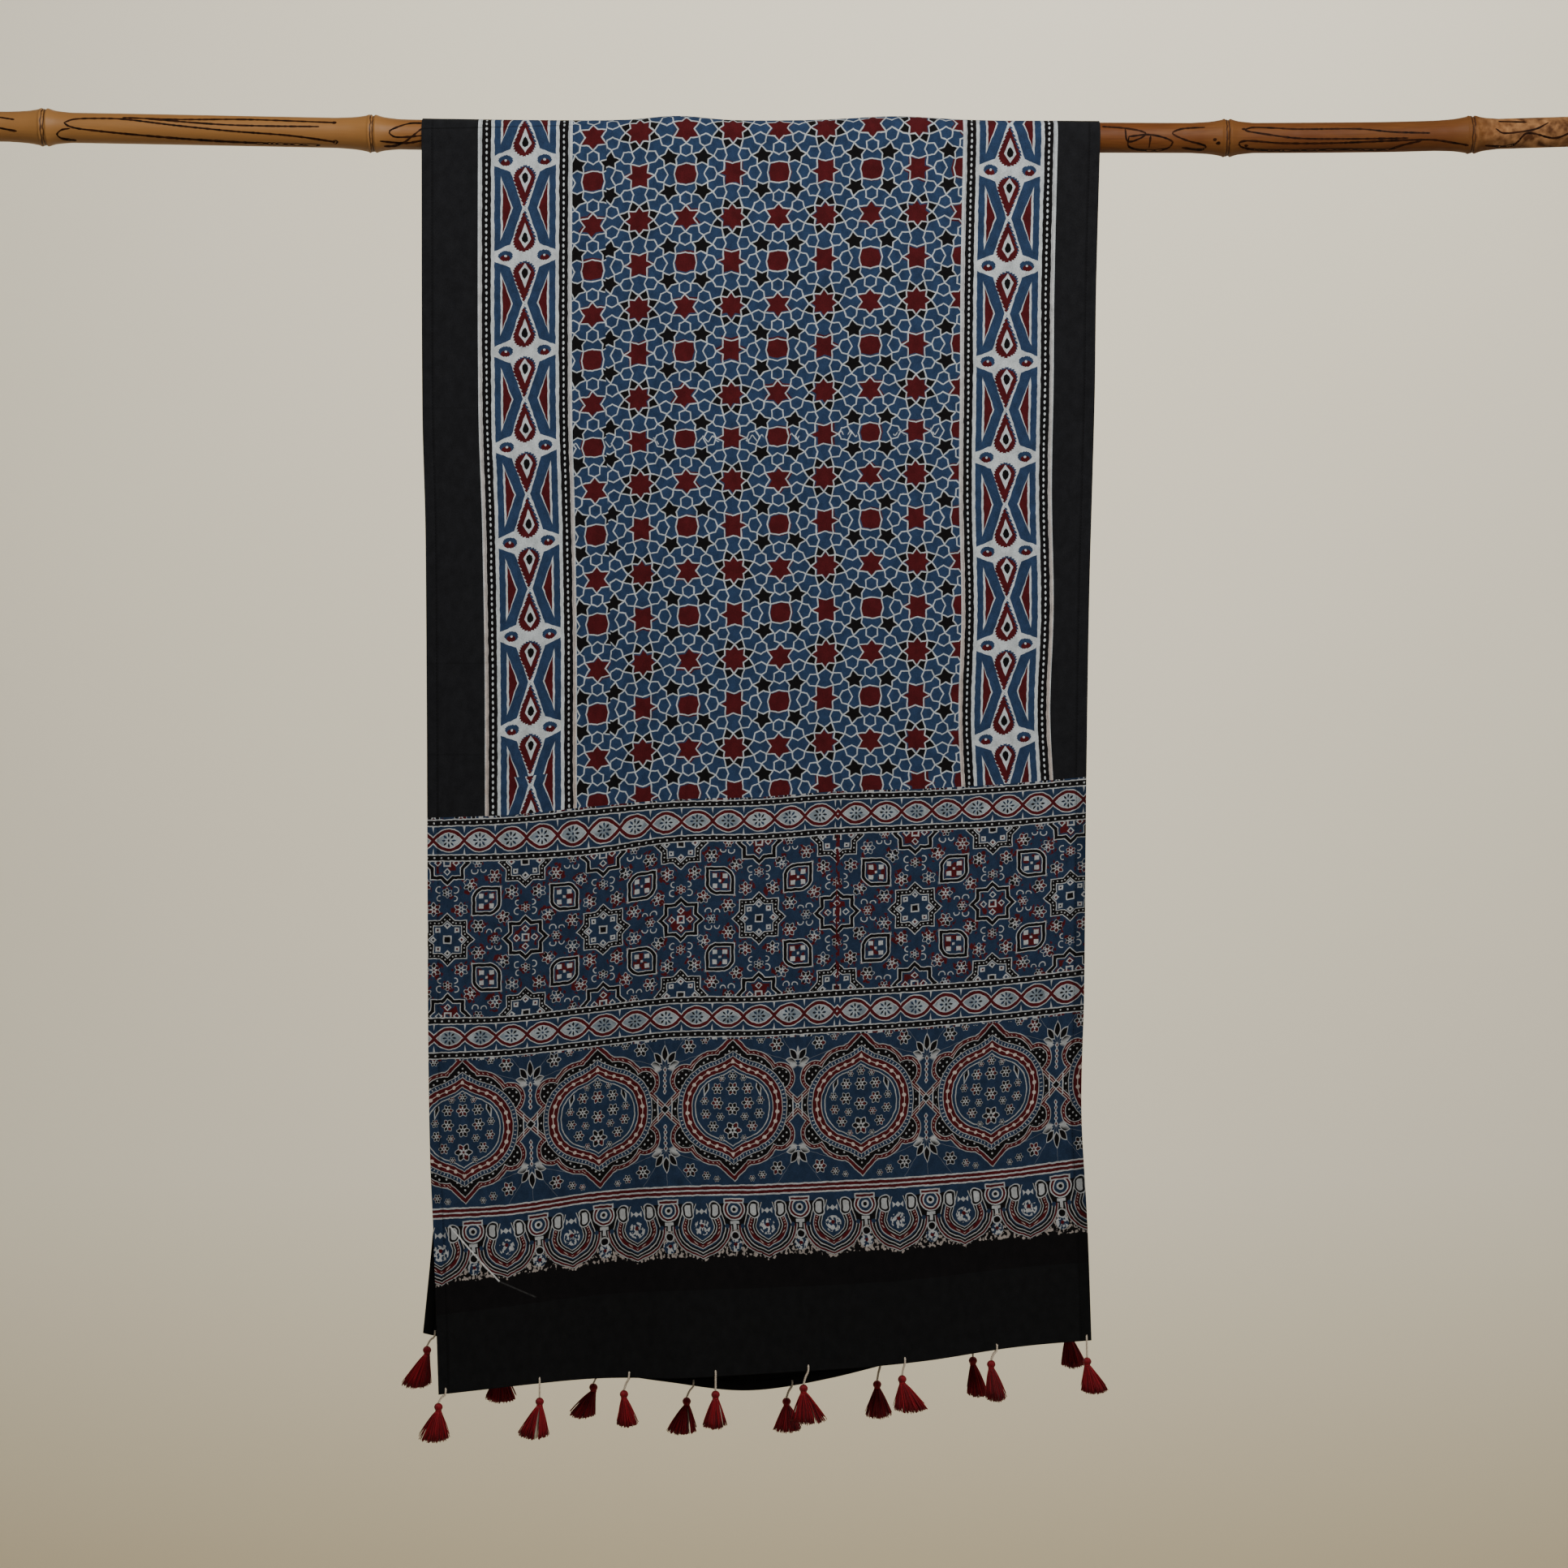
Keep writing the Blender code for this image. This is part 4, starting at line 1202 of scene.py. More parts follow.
def lamps():
    """Triple line, row of horseshoe lamps and urns, and a ragged white edge."""
    cotton = Cotton("lamps")
    x = cotton.fold(cotton.edge - LAMP_START_MM, LAMP_HALF_MM)
    y = cotton.along - LAMP_MIDDLE_MM
    height, width = LAMP_TIP_MM
    tent = cotton.most(1 - x * (1 / width), 0.0)
    round_part = cotton.place(x, y).disc((0, 0), 0.0) - tent * tent * height
    above = cotton.math("LESS_THAN", y, 0.0)
    ring = cotton.either(above, round_part, x - y * LAMP_LEAN)
    colour = cotton.rings(ring, LAMP_RINGS)
    colour = cotton.mix(above * cotton.fill(20.7 - ring), colour, BLACK)
    middle, half_pitch, dot = LAMP_DOT_MM
    dots = cotton.place(ring - middle, cotton.fold(x + y, half_pitch)).disc((0, 0), dot)
    # pale heads of the horseshoe and the flower that it holds
    place = cotton.place(x, cotton.along)
    head_x, head_top, head_foot = HEAD_MM
    beyond = cotton.most(head_top - place.y, place.y - head_foot, 0.0)
    head = cotton.place(x - head_x + beyond * 0.3, beyond).disc((0, 0), 0.0)
    outer, middle, inner = (head - radius for radius in HEAD_RINGS_MM)
    blotted = cotton.mix(patches(cotton, 0.32, 0.50, 20.0), DULL_WHITE, DEEP_BLUE)
    colour = cotton.over(colour, (dots, ROSY_WHITE), (outer, DULL_WHITE), (middle, BLACK),
                         (inner, DULL_WHITE), (place.disc(*LAMP_FLOWER_MM), blotted),
                         (place.disc(*LAMP_EYE_MM), RED))
    teeth = cotton.place(cotton.fold(x, 2.2), place.y).diamond((0, 888), 2.4)
    colour = cotton.mix(cotton.fill(teeth) * cotton.fill(x - 4.5), colour, DULL_WHITE)
    # urn between two lamps
    urn_place = cotton.place(LAMP_HALF_MM - x, cotton.along)
    urn = urn_place.disc((0, URN_MIDDLE_MM), 0.0)
    foot = cotton.least(urn_place.box(*URN_FOOT_MM), urn_place.box(*URN_STEM_MM))
    bar, wide, high = URN_BAR_MM
    box = urn_place.box((0, bar), (wide, high))
    colour = cotton.over(colour, (urn - 9.9, cotton.rings(urn, URN_RINGS)), (foot, DULL_WHITE),
                         (urn_place.disc(*URN_DISC_MM), DEEP_BLUE),
                         (cotton.along - bar - 2.0, DEEP_BLUE), (box - 1.1, DULL_WHITE),
                         (box, RED))
    top = cotton.fill(cotton.along - bar - 3.0)
    colour = cotton.mix(cotton.fill(outer) * top, colour, DULL_WHITE)
    colour = cotton.mix(cotton.fill(middle) * top, colour, BLACK)
    # lotus and ragged edge
    outside = cotton.fill(25.7 - ring) * cotton.fill(903.5 - cotton.along)
    lumps, _ = cotton.noise(cotton.raw, 0.30, 1.0)
    lace = cotton.over(BLACK, (0.53 - lumps, FRINGE_WHITE, 0.05))
    arch = urn_place.disc(*LOTUS_ARCH_MM)
    start, reach = FRINGE_MM
    end = cotton.math("MULTIPLY_ADD", lumps, reach * 2, start - reach + 2.0) - cotton.along
    end = end + cotton.most(1 - x * (1 / 9.0), 0.0) * 4.0
    colour = cotton.over(cotton.mix(outside, colour, lace), (urn_place.disc(*LOTUS_MM), blotted),
                         (urn_place.disc(*LOTUS_EYE_MM), RED), (abs(arch) - 0.5, DULL_WHITE),
                         (arch + 0.6, BLACK), (end, BLACK))
    colour = add_pale_crease(cotton, colour)
    from_triple = cotton.along - TRIPLE_MIDDLE_MM
    triple = cotton.rings(abs(from_triple), TRIPLE_RINGS)
    return cotton.finish(cotton.over(colour, (from_triple - 5.0, triple)))


def cotton_materials():
    return {
        # the margins' black is painted paler than the end's, standing in for the brighter light
        # near the top
        "margin": plain_cotton("black_cotton", PAINTED_LIGHT_MARGIN_BLACK),
        "field": star_field(),
        "left border": side_border("left_border", 0.0, 20.7, 38.15, LEFT_STRAY, LEFT_LEAN),
        "right border": side_border("right_border", BORDER_SPACING_MM, 31.5, 40.35,
                                    RIGHT_STRAY, RIGHT_LEAN),
        "waves and stars": waves_and_stars(),
        "medallions": medallions(),
        "lamps": lamps(),
        "end": end_panel(),
    }


# Tassels and cords, as in the solids

HEAD_TOP_ABOVE = 3.2 * MM
GAP = 0.3 * MM
LEG_OFFSET = 1.8 * MM
SKIRT_HALF_DEPTH = 6.0 * MM
# Hole's place along X, sideways shift of the head, drop from hole to head, reach of the skirt
# to the left and to the right of the head, drop from head to the skirt's end, all in mm
FRONT_TASSELS_MM = (
    (-278.7, -6.1, 15.2, -17.4, 9.4, 27.5),
    (-201.7, 0.0, 19.4, -18.7, 8.7, 29.5),
    (-127.3, -4.7, 18.1, -6.7, 12.0, 25.5),
    (-56.3, 0.0, 19.4, -11.4, 9.4, 26.8),
    (20.1, -4.0, 18.8, -12.0, 19.4, 28.1),
    (99.5, -2.3, 17.4, -8.0, 21.4, 26.1),
    (175.5, -4.7, 16.1, -5.5, 13.4, 29.5),
    (249.9, 0.3, 21.4, -6.0, 17.8, 25.1),
)
BACK_TASSELS_MM = (
    (-291.2, -6.8, 16.3, -22.3, 3.5, 30.5),
    (-236.4, 0.0, 18.0, -14.0, 14.0, 28.0),
    (-151.7, -7.5, 17.6, -21.0, 1.5, 24.4),
    (-75.2, -6.1, 17.6, -17.6, 9.0, 26.4),
    (6.8, -4.7, 17.6, -12.2, 13.5, 24.4),
    (80.6, -2.7, 20.0, -10.8, 12.9, 27.1),
    (157.1, 0.7, 18.3, -5.5, 13.0, 29.0),
    (237.0, 0.0, 18.0, -6.5, 14.9, 28.5),
)
# Tassel and the share of its width, from -1 to 1, where its skirt is parted
PARTINGS = {"tassel_front_2": (0.15, 0.16), "tassel_front_5": (0.45, 0.10),
            "tassel_back_4": (0.55, 0.14), "tassel_front_4": (0.75, 0.08)}
SKIRT_THREADS = 270
# Cream threads in a parted skirt, and the shade that marks them
CREAM_STRAYS = 7
CREAM_SHADE = 3.0
STRAY_CREAM = (0.60, 0.50, 0.38, 1)
THREAD_RADIUS = 0.41 * MM
THREAD_SIDES = 3
THREAD_STEPS = 7
NECK_RADIUS = 2.3 * MM
NECK_LEVEL = -2.7 * MM
SKIRT_LEVEL = -1.8 * MM
HEAD_RADIUS = 3.1 * MM
HEAD_THREADS = 22
BINDING_TURNS = 4
CORD_STRAND_RADIUS = 0.46 * MM
CORD_TWIST = 3.4 * MM


def hole_frame(x, front):
    """Centre of a hem hole and the turn about Z that sets it square to the cloth."""
    wefts = [row for row in FRONT_WEFTS_MM if row[0] in SOLID_STATIONS_MM]
    length = LAYER_LENGTH - HOLE_ABOVE_HEM
    left = layer_point(0, length, front, wefts).x
    right = layer_point(1, length, front, wefts).x
    across = (x - left) / (right - left)
    centre = layer_point(across, length, front, wefts)
    step = 0.025
    run = (layer_point(across + step, length, front, wefts)
           - layer_point(across - step, length, front, wefts))
    return Matrix.Translation(centre) @ Matrix.Rotation(math.atan2(run.y, run.x), 4, "Z")


class Strands:
    """One mesh of many thin tubes, each with a shade of its own."""

    def __init__(self):
        self.bm = bmesh.new()
        self.shade = self.bm.verts.layers.float.new("shade")

    def tube(self, points, radii, sides, shade, twist=0.0):
        """Closed tube through the points. A twist turns its section along the way."""
        rings = []
        for k, (point, radius) in enumerate(zip(points, radii)):
            before, after = points[max(k - 1, 0)], points[min(k + 1, len(points) - 1)]
            run = (after - before).normalized()
            side = run.cross(Vector((0.13, 1, 0.07))).normalized()
            up = run.cross(side)
            ring = []
            for j in range(sides):
                angle = 2 * math.pi * j / sides + twist * k
                spot = point + (side * math.cos(angle) + up * math.sin(angle)) * radius
                vert = self.bm.verts.new(spot)
                vert[self.shade] = shade
                ring.append(vert)
            rings.append(ring)
        for low, high in zip(rings, rings[1:]):
            join_rings(self.bm, low, high)
        self.bm.faces.new(reversed(rings[0]))
        self.bm.faces.new(rings[-1])

    def finish(self, name, matrix, material):
        bmesh.ops.recalc_face_normals(self.bm, faces=self.bm.faces)
        self.bm.transform(matrix)
        obj = mesh_object(name, self.bm, material)
        obj.data.shade_smooth()
        return obj


def bezier(points, t):
    """Point on the curve of three control points."""
    a, b, c = points
    return a * (1 - t) ** 2 + b * (2 * t * (1 - t)) + c * t * t


def add_head(strands, draw, top, neck):
    """Threads folded over the cord, as a small bulb, and the turns that bind its neck."""
    height = top - neck
    for k in range(HEAD_THREADS):
        angle = 2 * math.pi * k / HEAD_THREADS + draw.uniform(-0.05, 0.05)
        points = []
        for step in range(8):
            t = step / 7
            bulge = math.sin(math.pi * (0.12 + 0.80 * t)) ** 0.7
            radius = HEAD_RADIUS * bulge * (1 - 0.10 * (1 - t))
            points.append(Vector((radius * math.cos(angle), radius * math.sin(angle),
                                  neck + height * t)))
        strands.tube(points, [0.62 * MM] * len(points), 4, draw.uniform(0.3, 0.8))
    core = [Vector((0, 0, neck + height * k / 6)) for k in range(7)]
    radii = [HEAD_RADIUS * math.sin(math.pi * (0.12 + 0.80 * k / 6)) ** 0.7 for k in range(7)]
    strands.tube(core, radii, 12, 0.3)
    turns = []
    for k in range(BINDING_TURNS * 14 + 1):
        angle = 2 * math.pi * k / 14
        turns.append(Vector((NECK_RADIUS * math.cos(angle), NECK_RADIUS * math.sin(angle),
                             neck - 0.9 * MM + 0.55 * MM * angle / (2 * math.pi))))
    strands.tube(turns, [0.36 * MM] * len(turns), 5, 0.9)


def add_skirt(strands, draw, row, neck, parting):
    """Threads that fan out from the neck to a ragged edge."""
    _, _, _, reach_left, reach_right, drop = (v * MM for v in row)
    middle, half_width = (reach_left + reach_right) / 2, (reach_right - reach_left) / 2
    strays = CREAM_STRAYS if parting else 0
    for k in range(SKIRT_THREADS + strays):
        radius = math.sqrt((k % SKIRT_THREADS + 0.5) / SKIRT_THREADS)
        angle = k * 2.39996 + draw.uniform(-0.15, 0.15)
        cx, cy = radius * math.cos(angle), radius * math.sin(angle)
        if parting:
            place, half = parting
            away = cx - place
            if k >= SKIRT_THREADS:
                cx, cy = place + half * draw.uniform(-0.7, 0.5), 0.5 * draw.uniform(-1, 1)
            elif abs(away) < half:
                cx = place + math.copysign(half, away) * draw.uniform(1.0, 1.25)
        start = Vector((cx * (NECK_RADIUS - 0.4 * MM), cy * (NECK_RADIUS - 0.4 * MM), neck))
        ragged = 1 - 0.20 * draw.random() ** 3 - 0.05 * draw.random()
        tip = Vector((middle + half_width * cx * draw.uniform(0.93, 1.0),
                      SKIRT_HALF_DEPTH * cy,
                      SKIRT_LEVEL - drop * ragged * (1 - 0.10 * cx * cx)))
        lean = start + Vector(((tip.x - start.x) * 0.42, (tip.y - start.y) * 0.55,
                               (tip.z - start.z) * draw.uniform(0.28, 0.36)))
        wave, phase = draw.uniform(0.0, 0.45) * MM, draw.uniform(0, 6.28)
        points = []
        for step in range(THREAD_STEPS + 1):
            t = step / THREAD_STEPS
            spot = bezier((start, lean, tip), t)
            spot.x += wave * t * math.sin(phase + 5 * t)
            spot.y += wave * t * math.cos(phase + 4 * t)
            points.append(spot)
        radii = [THREAD_RADIUS * (1.15 - 0.35 * step / THREAD_STEPS)
                 for step in range(THREAD_STEPS + 1)]
        shade = draw.random()
        strands.tube(points, radii, THREAD_SIDES, CREAM_SHADE if k >= SKIRT_THREADS else shade)


def make_tassel(name, row, front, material):
    draw = random.Random(name)
    _, head_shift, head_drop = (v * MM for v in row[:3])
    strands = Strands()
    add_head(strands, draw, HEAD_TOP_ABOVE - 0.5 * MM, NECK_LEVEL)
    add_skirt(strands, draw, row, NECK_LEVEL - 0.2 * MM, PARTINGS.get(name))
    local = Matrix.Translation((head_shift, 0, -head_drop))
    return strands.finish(name + "_threads", hole_frame(row[0] * MM, front) @ local, material)


def make_cord(name, row, front, material):
    """Cord of two twisted strands, through the hem and down both sides to the head."""
    head_shift, head_drop = row[1] * MM, row[2] * MM
    head_top = head_drop - HEAD_TOP_ABOVE - GAP
    leg = ((head_shift, 1.0 * MM, -head_top), (head_shift * 0.6, 1.4 * MM, -head_top * 0.62),
           (head_shift * 0.12, LEG_OFFSET, -5.2 * MM), (0, LEG_OFFSET, -1.5 * MM),
           (0, 1.3 * MM, -0.3 * MM))
    route = [Vector((x, -y, z)) for x, y, z in leg] + [Vector((0, 0, 0.1 * MM))]
    route += [Vector(point) for point in reversed(leg)]
    lengths = [0.0]
    for a, b in zip(route, route[1:]):
        lengths.append(lengths[-1] + (b - a).length)
    steps = round(lengths[-1] / (0.45 * MM))
    tracks = [list(zip(lengths, values)) for values in zip(*route)]
    line = [Vector([curve_through(track, lengths[-1] * k / steps) for track in tracks])
            for k in range(steps + 1)]
    strands = Strands()
    for strand in range(2):
        points = []
        for k, point in enumerate(line):
            run = (line[min(k + 1, steps)] - line[max(k - 1, 0)]).normalized()
            side = run.cross(Vector((0.1, 1, 0.05))).normalized()
            up = run.cross(side)
            angle = math.pi * strand + 2 * math.pi * lengths[-1] * k / steps / CORD_TWIST
            points.append(point + (side * math.cos(angle) + up * math.sin(angle)) * 0.4 * MM)
        strands.tube(points, [CORD_STRAND_RADIUS] * len(points), 6, 0.4 + 0.3 * strand)
    return strands.finish(name + "_strands", hole_frame(row[0] * MM, front), material)


def thread_material(name, dark, light, roughness, sheen):
    """Twisted thread: each strand's own shade between two colours, with a fine mottle."""
    graph = Graph(name)
    shade = Field(graph, graph.node("Attribute", attribute_name="shade").outputs["Fac"])
    mottle, _ = graph.noise(graph.object_place(), 900.0, 2.0)
    tone = graph.math("MULTIPLY_ADD", mottle, 0.9, shade * 0.75 - 0.3)
    stray = graph.math("GREATER_THAN", shade, CREAM_SHADE - 0.5)
    graph.bump(mottle, 0.5, 0.1)
    return graph.surface(graph.mix(stray, graph.mix(tone, dark, light), STRAY_CREAM),
                         {"Roughness": roughness, "Sheen Weight": sheen,
                          "Specular IOR Level": 0.25})


# Bamboo rod

ROD_STEP = 3.0 * MM
ROD_SIDES = 40
ROD_LEVEL = ROD_HALF_LENGTH - 12 * MM
# Lip of a node: place along the rod from the node and height above its skin
NODE_LIP_MM = ((-4.0, 0.0), (-2.4, 0.35), (-1.3, -0.35), (0.0, 0.5), (1.2, -0.1), (2.6, 0.25),
               (4.5, 0.0))
# Rings of a cut end, from its rim inwards: share of the radius and depth in mm
ROD_END_RINGS = ((0.94, 0.0), (0.64, 0.0), (0.58, 1.2), (0.0, 1.2))


def rod_radius(x_mm):
    """Radius of the rod's smooth shape, without its grain."""
    swelling = 0.0
    for node in NODE_PLACES_MM:
        offset = x_mm - node
        if NODE_PROFILE[0][0] < offset < NODE_PROFILE[-1][0]:
            swelling = max(swelling, curve_through(NODE_PROFILE, offset))
    return ROD_RADIUS * (1 + swelling * (NODE_RADIUS / ROD_RADIUS - 1))


def rod_axis(x):
    return rod_height(min(max(x, -ROD_LEVEL), ROD_LEVEL))


def rod_point(x_mm, angle, proud=0.0):
    """Point on the rod: the angle is 0 at the front and rises towards the top."""
    radius = rod_radius(x_mm) + proud
    x = x_mm * MM
    return Vector((x, -radius * math.cos(angle), rod_axis(x) + radius * math.sin(angle)))


def rod_grain(x_mm, angle):
    """Unevenness of the bamboo's skin, in mm, with the ragged lip at each node."""
    turn = Vector((math.cos(angle), math.sin(angle), 0))
    grain = 0.10 * noise.noise(turn * 2.2 + Vector((0, 0, x_mm / 90)))
    for k, node in enumerate(NODE_PLACES_MM):
        ragged = noise.noise(turn * 3.1 + Vector((5.0 * k, 0, 0))) * 1.6
        offset = x_mm - node - ragged
        if NODE_LIP_MM[0][0] < offset < NODE_LIP_MM[-1][0]:
            grain += curve_through(NODE_LIP_MM, offset)
    return grain


def make_rod(material):
    places = spread(-ROD_HALF_LENGTH / MM, ROD_HALF_LENGTH / MM, ROD_STEP / MM)
    places.append(ROD_HALF_LENGTH / MM)
    for node in NODE_PLACES_MM:
        places += spread(node - 7, node + 7, 0.6)
    places = sorted(set(places))
    bm = bmesh.new()
    layer = bm.verts.layers.float_vector.new("rod_place")
    rings = []
    for x_mm in places:
        ring = []
        for k in range(ROD_SIDES):
            angle = 2 * math.pi * k / ROD_SIDES
            edge = 0.0 if abs(x_mm) < ROD_HALF_LENGTH / MM - 0.1 else -0.5
            proud = (rod_grain(x_mm, angle) * (1 + edge) + edge) * MM
            vert = bm.verts.new(rod_point(x_mm, angle, proud))
            vert[layer] = (x_mm, math.cos(angle), math.sin(angle))
            ring.append(vert)
        rings.append(ring)
    for low, high in zip(rings, rings[1:]):
        join_rings(bm, low, high)
    for end, rim in ((-1, rings[0]), (1, rings[-1])):
        x = end * ROD_HALF_LENGTH
        for share, depth in ROD_END_RINGS:
            ring = []
            for k in range(ROD_SIDES):
                angle = 2 * math.pi * k / ROD_SIDES
                radius = ROD_RADIUS * max(share, 0.02)
                vert = bm.verts.new((x - end * depth * MM, -radius * math.cos(angle),
                                     rod_axis(x) + radius * math.sin(angle)))
                vert[layer] = (end * 900, share * math.cos(angle), share * math.sin(angle))
                ring.append(vert)
            join_rings(bm, rim, ring)
            rim = ring
        bm.faces.new(rim)
    bmesh.ops.recalc_face_normals(bm, faces=bm.faces)
    pole = mesh_object("bamboo_pole", bm, material)
    pole.data.shade_smooth()
    pole.data.set_sharp_from_angle(angle=math.radians(50))
    return pole


BAMBOO_AMBER = (0.26, 0.098, 0.022, 1)
BAMBOO_RED = (0.170, 0.048, 0.011, 1)
BAMBOO_FIBRE = (0.120, 0.034, 0.008, 1)
BAMBOO_BY_NODE = (0.30, 0.135, 0.036, 1)
BAMBOO_LEFT = (0.42, 0.21, 0.066, 1)
BAMBOO_RIGHT = (0.105, 0.034, 0.0085, 1)
BAMBOO_LIP = (0.035, 0.012, 0.006, 1)
WORN_DARK = (0.085, 0.032, 0.011, 1)
WORN_PALE = (0.46, 0.225, 0.090, 1)
BAMBOO_CUT = (0.52, 0.36, 0.19, 1)
# Place along the rod, in mm, from which its right end is worn
WORN_FROM_MM = 585.0


def bamboo():
    """Varnished bamboo: amber skin with fibres, redder in mid-length, dark and ragged at nodes."""
    graph = Graph("bamboo")
    vector, (along, _, _) = graph.attribute("rod_place")
    streaks, _ = graph.noise(graph.scaled(vector, (0.02, 4.0, 4.0)), 2.5, 4.0)
    blush, _ = graph.noise(graph.scaled(vector, (0.012, 0.7, 0.7)), 1.0, 3.0)
    place = graph.scaled(vector, (1, ROD_RADIUS / MM, ROD_RADIUS / MM))
    ragged, _ = graph.noise(place, 0.16, 2.0)
    rough, _ = graph.noise(place, 0.11, 4.0)
    nearest = graph.least(*(abs(along - float(node)) for node in NODE_PLACES_MM))
    right = graph.ramp(along, 1 / 500, 0.0)
    lip = graph.line(nearest - ragged * 3.0 + 0.6, 0.55, 0.6)
    past = -(along - WORN_FROM_MM) - 30.0
    worn = graph.fill(graph.math("MULTIPLY_ADD", ragged, 60.0, past), 30.0)
    skin = BAMBOO_AMBER
    for share, colour in (
            (graph.ramp(blush, 2.6, -0.9), BAMBOO_RED),
            (graph.ramp(streaks, 1.8, -0.62), BAMBOO_FIBRE),
            (graph.ramp(nearest, -1 / 26, 0.85) * 0.6, BAMBOO_BY_NODE),
            (graph.ramp(along, -1 / 120, -2.0) * 0.6, BAMBOO_LEFT),
            (right * 0.45, BAMBOO_RIGHT),
            (lip * 0.9, BAMBOO_LIP),
            (worn * 0.9, graph.mix(graph.ramp(rough, 3.4, -1.2), WORN_DARK, WORN_PALE)),
            (graph.fill(700.5 - abs(along), 0.3), BAMBOO_CUT)):
        skin = graph.mix(share, skin, colour)
    graph.bump(graph.math("MULTIPLY_ADD", streaks, 0.8, rough * 0.5), 0.35, 0.3)
    rub = graph.math("MULTIPLY_ADD", rough, 0.30, 0.28) + right * 0.25
    return graph.surface(skin, {"Roughness": rub + worn * 0.25, "Specular IOR Level": 0.18,
                                "Coat Weight": 0.04, "Coat Roughness": 0.3})


# Marks burnt into the front of the rod: along it and up from its axis, as seen from the front
BURNT_MARKS_MM = (
    ((-595, 2.0), (-587, 5.1), (-568, 6.2), (-547, 6.0), (-504, 1.5), (-456, -2.4), (-408, -5.0),
     (-371, -9.0)),
    ((-595, 2.0), (-591, -0.8), (-580, -3.0), (-527, -7.2), (-480, -9.6), (-432, -10.8),
     (-384, -11.3)),
    ((-547, 7.4), (-504, 6.6), (-444, 7.8), (-372, 6.6)),
    ((-527, 6.6), (-468, 3.0), (-432, 2.4), (-384, 2.8)),
    ((-590, -2.6), (-597, -4.0), (-601, -7.6), (-598, -10.2), (-586, -11.2)),
    ((-299, 8.1), (-310, 7.4), (-325, 1.2), (-326, -1.4), (-321, -4.3), (-299, -2.7)),
    ((-334, -8.0), (-312, -8.5), (-299, -6.4)),
    ((-299, 3.3), (-312, -6.8), (-322, -10.6), (-331, -11.4)),
    ((263, 7.5), (285, 5.6), (299, 1.7), (295, -2.2), (284, -4.8), (282, 5.2)),
    ((285, -1.0), (303, 0.4), (321, -4.8), (318, -9.6), (301, -11.2), (285, -8.6), (285, -1.0)),
    ((303, -0.2), (302, -9.6)),
    ((348, 6.9), (329, 5.6), (321, 1.8), (331, -3.4), (349, -8.5), (346, -10.8), (329, -9.4)),
    ((534, 0.3), (501, 2.2), (475, 5.0), (424, 5.3), (388, 6.9), (381, 4.3), (393, 1.8),
     (424, -2.4), (462, -3.2), (516, -3.2)),
    ((566, -10.6), (558, -8.8), (532, -4.9), (450, -6.4), (411, -6.2), (383, -4.4), (376, -6.1),
     (377, -8.6), (386, -10.4), (410, -11.2), (462, -10.8), (501, -11.0), (512, -8.4),
     (527, -5.6)),
    ((588, 2.4), (594, -1.4), (609, -0.8), (622, 1.3), (632, 6.3)),
    ((591, 8.8), (614, 7.3)),
    ((580, -10.8), (604, -10.4), (614, -2.2), (637, -6.6), (652, -2.0)),
    ((-636, 4.0), (-664, 7.5), (-690, 6.2)),
    ((-634, -5.5), (-660, -2.0), (-688, -4.6), (-698, -9.0)),
)
# Blots: along, up, radius
BURNT_BLOTS_MM = ((-371, -9.0, 2.2), (-372, 6.6, 1.8), (356, -3.6, 1.7), (359, -6.4, 1.9),
                  (382, -8.2, 1.5), (380, 5.2, 1.5))
MARK_STEP_MM = 2.0
MARK_HALF_WIDTH_MM = 0.72
MARK_PROUD_MM = 0.10
SCORCH_DARK = (0.010, 0.0045, 0.0025, 1)
SCORCH_BROWN = (0.050, 0.016, 0.006, 1)


def mark_point(x_mm, up_mm, back):
    """Point just above the rod's skin, for a place as the front or the back shows it."""
    angle = math.asin(max(-0.97, min(0.97, up_mm / rod_radius(x_mm) * MM)))
    angle = math.pi + angle if back else angle
    return rod_point(x_mm, angle, (rod_grain(x_mm, angle) + MARK_PROUD_MM) * MM)


def mark_line(points):
    """Evenly spaced places along a smooth stroke through the points, ends faired."""
    lengths = [0.0]
    for (x0, y0), (x1, y1) in zip(points, points[1:]):
        lengths.append(lengths[-1] + math.hypot(x1 - x0, y1 - y0))
    across = list(zip(lengths, (x for x, _ in points)))
    up = list(zip(lengths, (y for _, y in points)))
    count = max(2, round(lengths[-1] / MARK_STEP_MM))
    places = [lengths[-1] * k / count for k in range(count + 1)]
    return [(curve_through(across, d), curve_through(up, d)) for d in places]


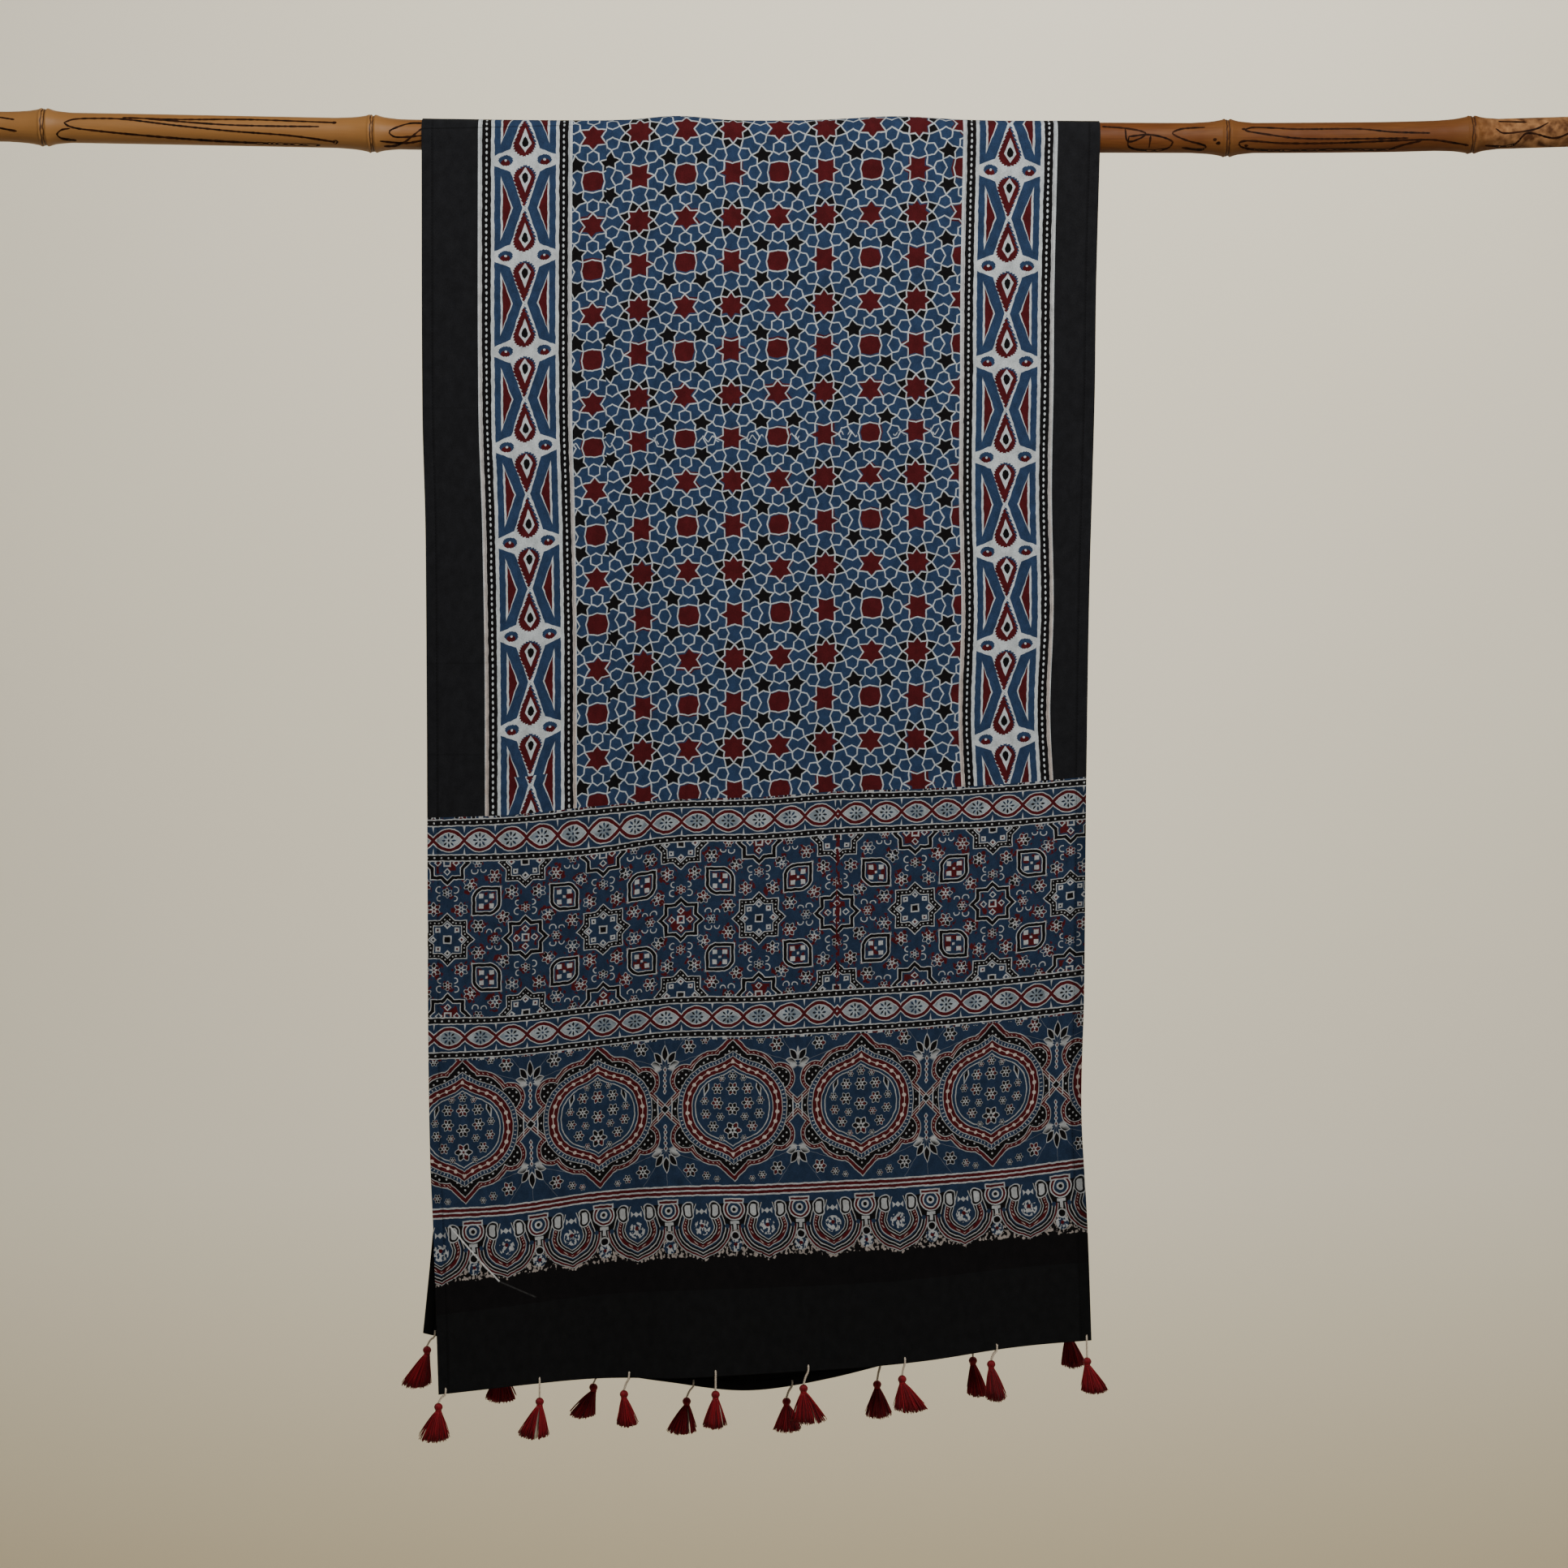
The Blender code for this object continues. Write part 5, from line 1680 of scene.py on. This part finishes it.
def make_marks(material):
    """Thin burnt strokes that lie on the rod's skin."""
    draw = random.Random("burnt marks")
    bm = bmesh.new()
    for back, points in [(back, points) for back in (False, True) for points in BURNT_MARKS_MM]:
        line = mark_line(points)
        last = len(line) - 1
        edges = []
        for k, (x, up) in enumerate(line):
            (x0, y0), (x1, y1) = line[max(k - 1, 0)], line[min(k + 1, last)]
            size = math.hypot(x1 - x0, y1 - y0) or 1.0
            across, along = (y0 - y1) / size, (x1 - x0) / size
            half = MARK_HALF_WIDTH_MM * draw.uniform(0.75, 1.3) * (0.45 if k in (0, last) else 1)
            edges.append([bm.verts.new(mark_point(x + side * half * across,
                                                  up + side * half * along, back))
                          for side in (-1, 1)])
        for low, high in zip(edges, edges[1:]):
            bm.faces.new((low[0], high[0], high[1], low[1]))
    for back, (x, up, radius) in [(back, row) for back in (False, True) for row in BURNT_BLOTS_MM]:
        ring = []
        for k in range(10):
            angle = k * math.pi / 5
            reach = radius * draw.uniform(0.8, 1.3)
            ring.append(bm.verts.new(mark_point(x + reach * math.cos(angle),
                                                up + radius * 0.7 * math.sin(angle), back)))
        bm.faces.new(ring)
    bmesh.ops.recalc_face_normals(bm, faces=bm.faces)
    return mesh_object("bamboo_burnt_marks", bm, material)


def burnt():
    """Scorched bamboo, brown where the heat was light."""
    graph = Graph("burnt_bamboo")
    tone, _ = graph.noise(graph.object_place(), 160.0, 2.0)
    return graph.surface(graph.mix(graph.ramp(tone, 2.6, -0.9), SCORCH_DARK, SCORCH_BROWN),
                         {"Roughness": 0.65, "Specular IOR Level": 0.08})


# Stage

CAMERA_DISTANCE = 3.05
CAMERA_PLACE = (0, -0.015 - CAMERA_DISTANCE, -0.5366)
FRAME_WIDTH = 1.29444
SENSOR_MM = 36
FLOOR_Z = -2.6
WALL_Y = 6.0
STAGE_HALF = 9.0
PLASTER = ((0.53, 0.49, 0.40, 1), (0.62, 0.58, 0.49, 1))
PLASTER_PAINTED_SHADE = (0.43, 0.37, 0.255, 1)
SURROUND = (0.80, 0.78, 0.72, 1)


def make_camera():
    data = bpy.data.cameras.new("camera")
    data.sensor_width = SENSOR_MM
    data.lens = SENSOR_MM * CAMERA_DISTANCE / FRAME_WIDTH
    camera = add_object("camera", data)
    camera.location = CAMERA_PLACE
    camera.rotation_euler = (math.pi / 2, 0, 0)
    bpy.context.scene.camera = camera


def make_light(name, place, target, size, power, colour):
    data = bpy.data.lights.new(name, "AREA")
    data.size = size
    data.energy = power
    data.color = colour
    light = add_object(name, data)
    light.location = place
    aim = Vector(target) - Vector(place)
    light.rotation_euler = aim.to_track_quat("-Z", "Y").to_euler()


def make_stage():
    """Pale floor and wall, with painted shade low on the wall and towards the front of the floor,
    soft lights from the upper left, and a pale surround.
    """
    graph = Graph("plaster")
    place = graph.object_place()
    tone, _ = graph.noise(place, 0.35, 4.0)
    # painted shade: the plaster darkens from 1.5 m below the origin down the wall, and on the
    # floor towards the front
    low = graph.ramp(graph.split(place)[1], -1.0, -1.5)
    plaster = graph.surface(graph.mix(low, graph.mix(tone, *PLASTER), PLASTER_PAINTED_SHADE),
                            {"Roughness": 0.9})
    for name, place, turn in (("floor", (0, 0, FLOOR_Z), 0.0),
                              ("wall", (0, WALL_Y, 0), math.pi / 2)):
        bpy.ops.mesh.primitive_plane_add(size=2 * STAGE_HALF, location=place,
                                         rotation=(turn, 0, 0))
        plane = bpy.context.object
        plane.name = name
        plane.data.materials.append(plaster)
    world = bpy.data.worlds.new("surround")
    world.use_nodes = True
    background = world.node_tree.nodes["Background"]
    background.inputs["Color"].default_value = SURROUND
    background.inputs["Strength"].default_value = 0.15
    bpy.context.scene.world = world
    make_light("key", (0.2, -1.6, 1.0), (0, 0, 0.5), 1.3, 42, (1.0, 0.98, 0.95))
    make_light("fill", (1.6, -2.8, -0.6), (0, 0, -0.6), 2.2, 12, (0.95, 0.97, 1.0))
    make_light("wall wash", (0.8, 2.0, 3.2), (0.3, WALL_Y, 0.9), 3.0, 480, (1.0, 0.98, 0.92))
    make_light("wall low", (-0.6, 2.0, -1.2), (-0.8, WALL_Y, -0.9), 3.0, 40, (1.0, 0.94, 0.80))


# Making the scene

# Dark and light of each thread
MAROON_SHADES = ((0.050, 0.0008, 0.0027, 1), (0.37, 0.0072, 0.0165, 1))
CREAM_SHADES = ((0.50, 0.39, 0.28, 1), (0.84, 0.74, 0.60, 1))

make_camera()
make_stage()
COTTON = cotton_materials()
front_cloth = make_cloth("cloth_front", True, COTTON)
back_cloth = make_cloth("cloth_back", False, COTTON)
for piece, half in ((front_cloth, "front"), (back_cloth, "back")):
    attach(piece, "root")
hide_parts("ajrakh_cloth")
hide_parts("ajrakh_cloth")

rod = make_rod(bamboo())
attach(rod, "root")
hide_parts("bamboo_rod")
marks = make_marks(burnt())
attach(marks, "root")
MAROON = thread_material("maroon_thread", *MAROON_SHADES, 0.5, 0.06)
CREAM = thread_material("cream_thread", *CREAM_SHADES, 0.7, 0.1)
for side, rows in (("front", FRONT_TASSELS_MM), ("back", BACK_TASSELS_MM)):
    for number, row in enumerate(rows, start=1):
        tassel_name, cord_name = f"tassel_{side}_{number}", f"tassel_cord_{side}_{number}"
        tassel = make_tassel(tassel_name, row, side == "front", MAROON)
        cord = make_cord(cord_name, row, side == "front", CREAM)
        for piece, node, slot in ((tassel, tassel_name, "maroon_thread"),
                                  (cord, cord_name, "cream_cord")):
            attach(piece, "root")
            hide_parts(node)
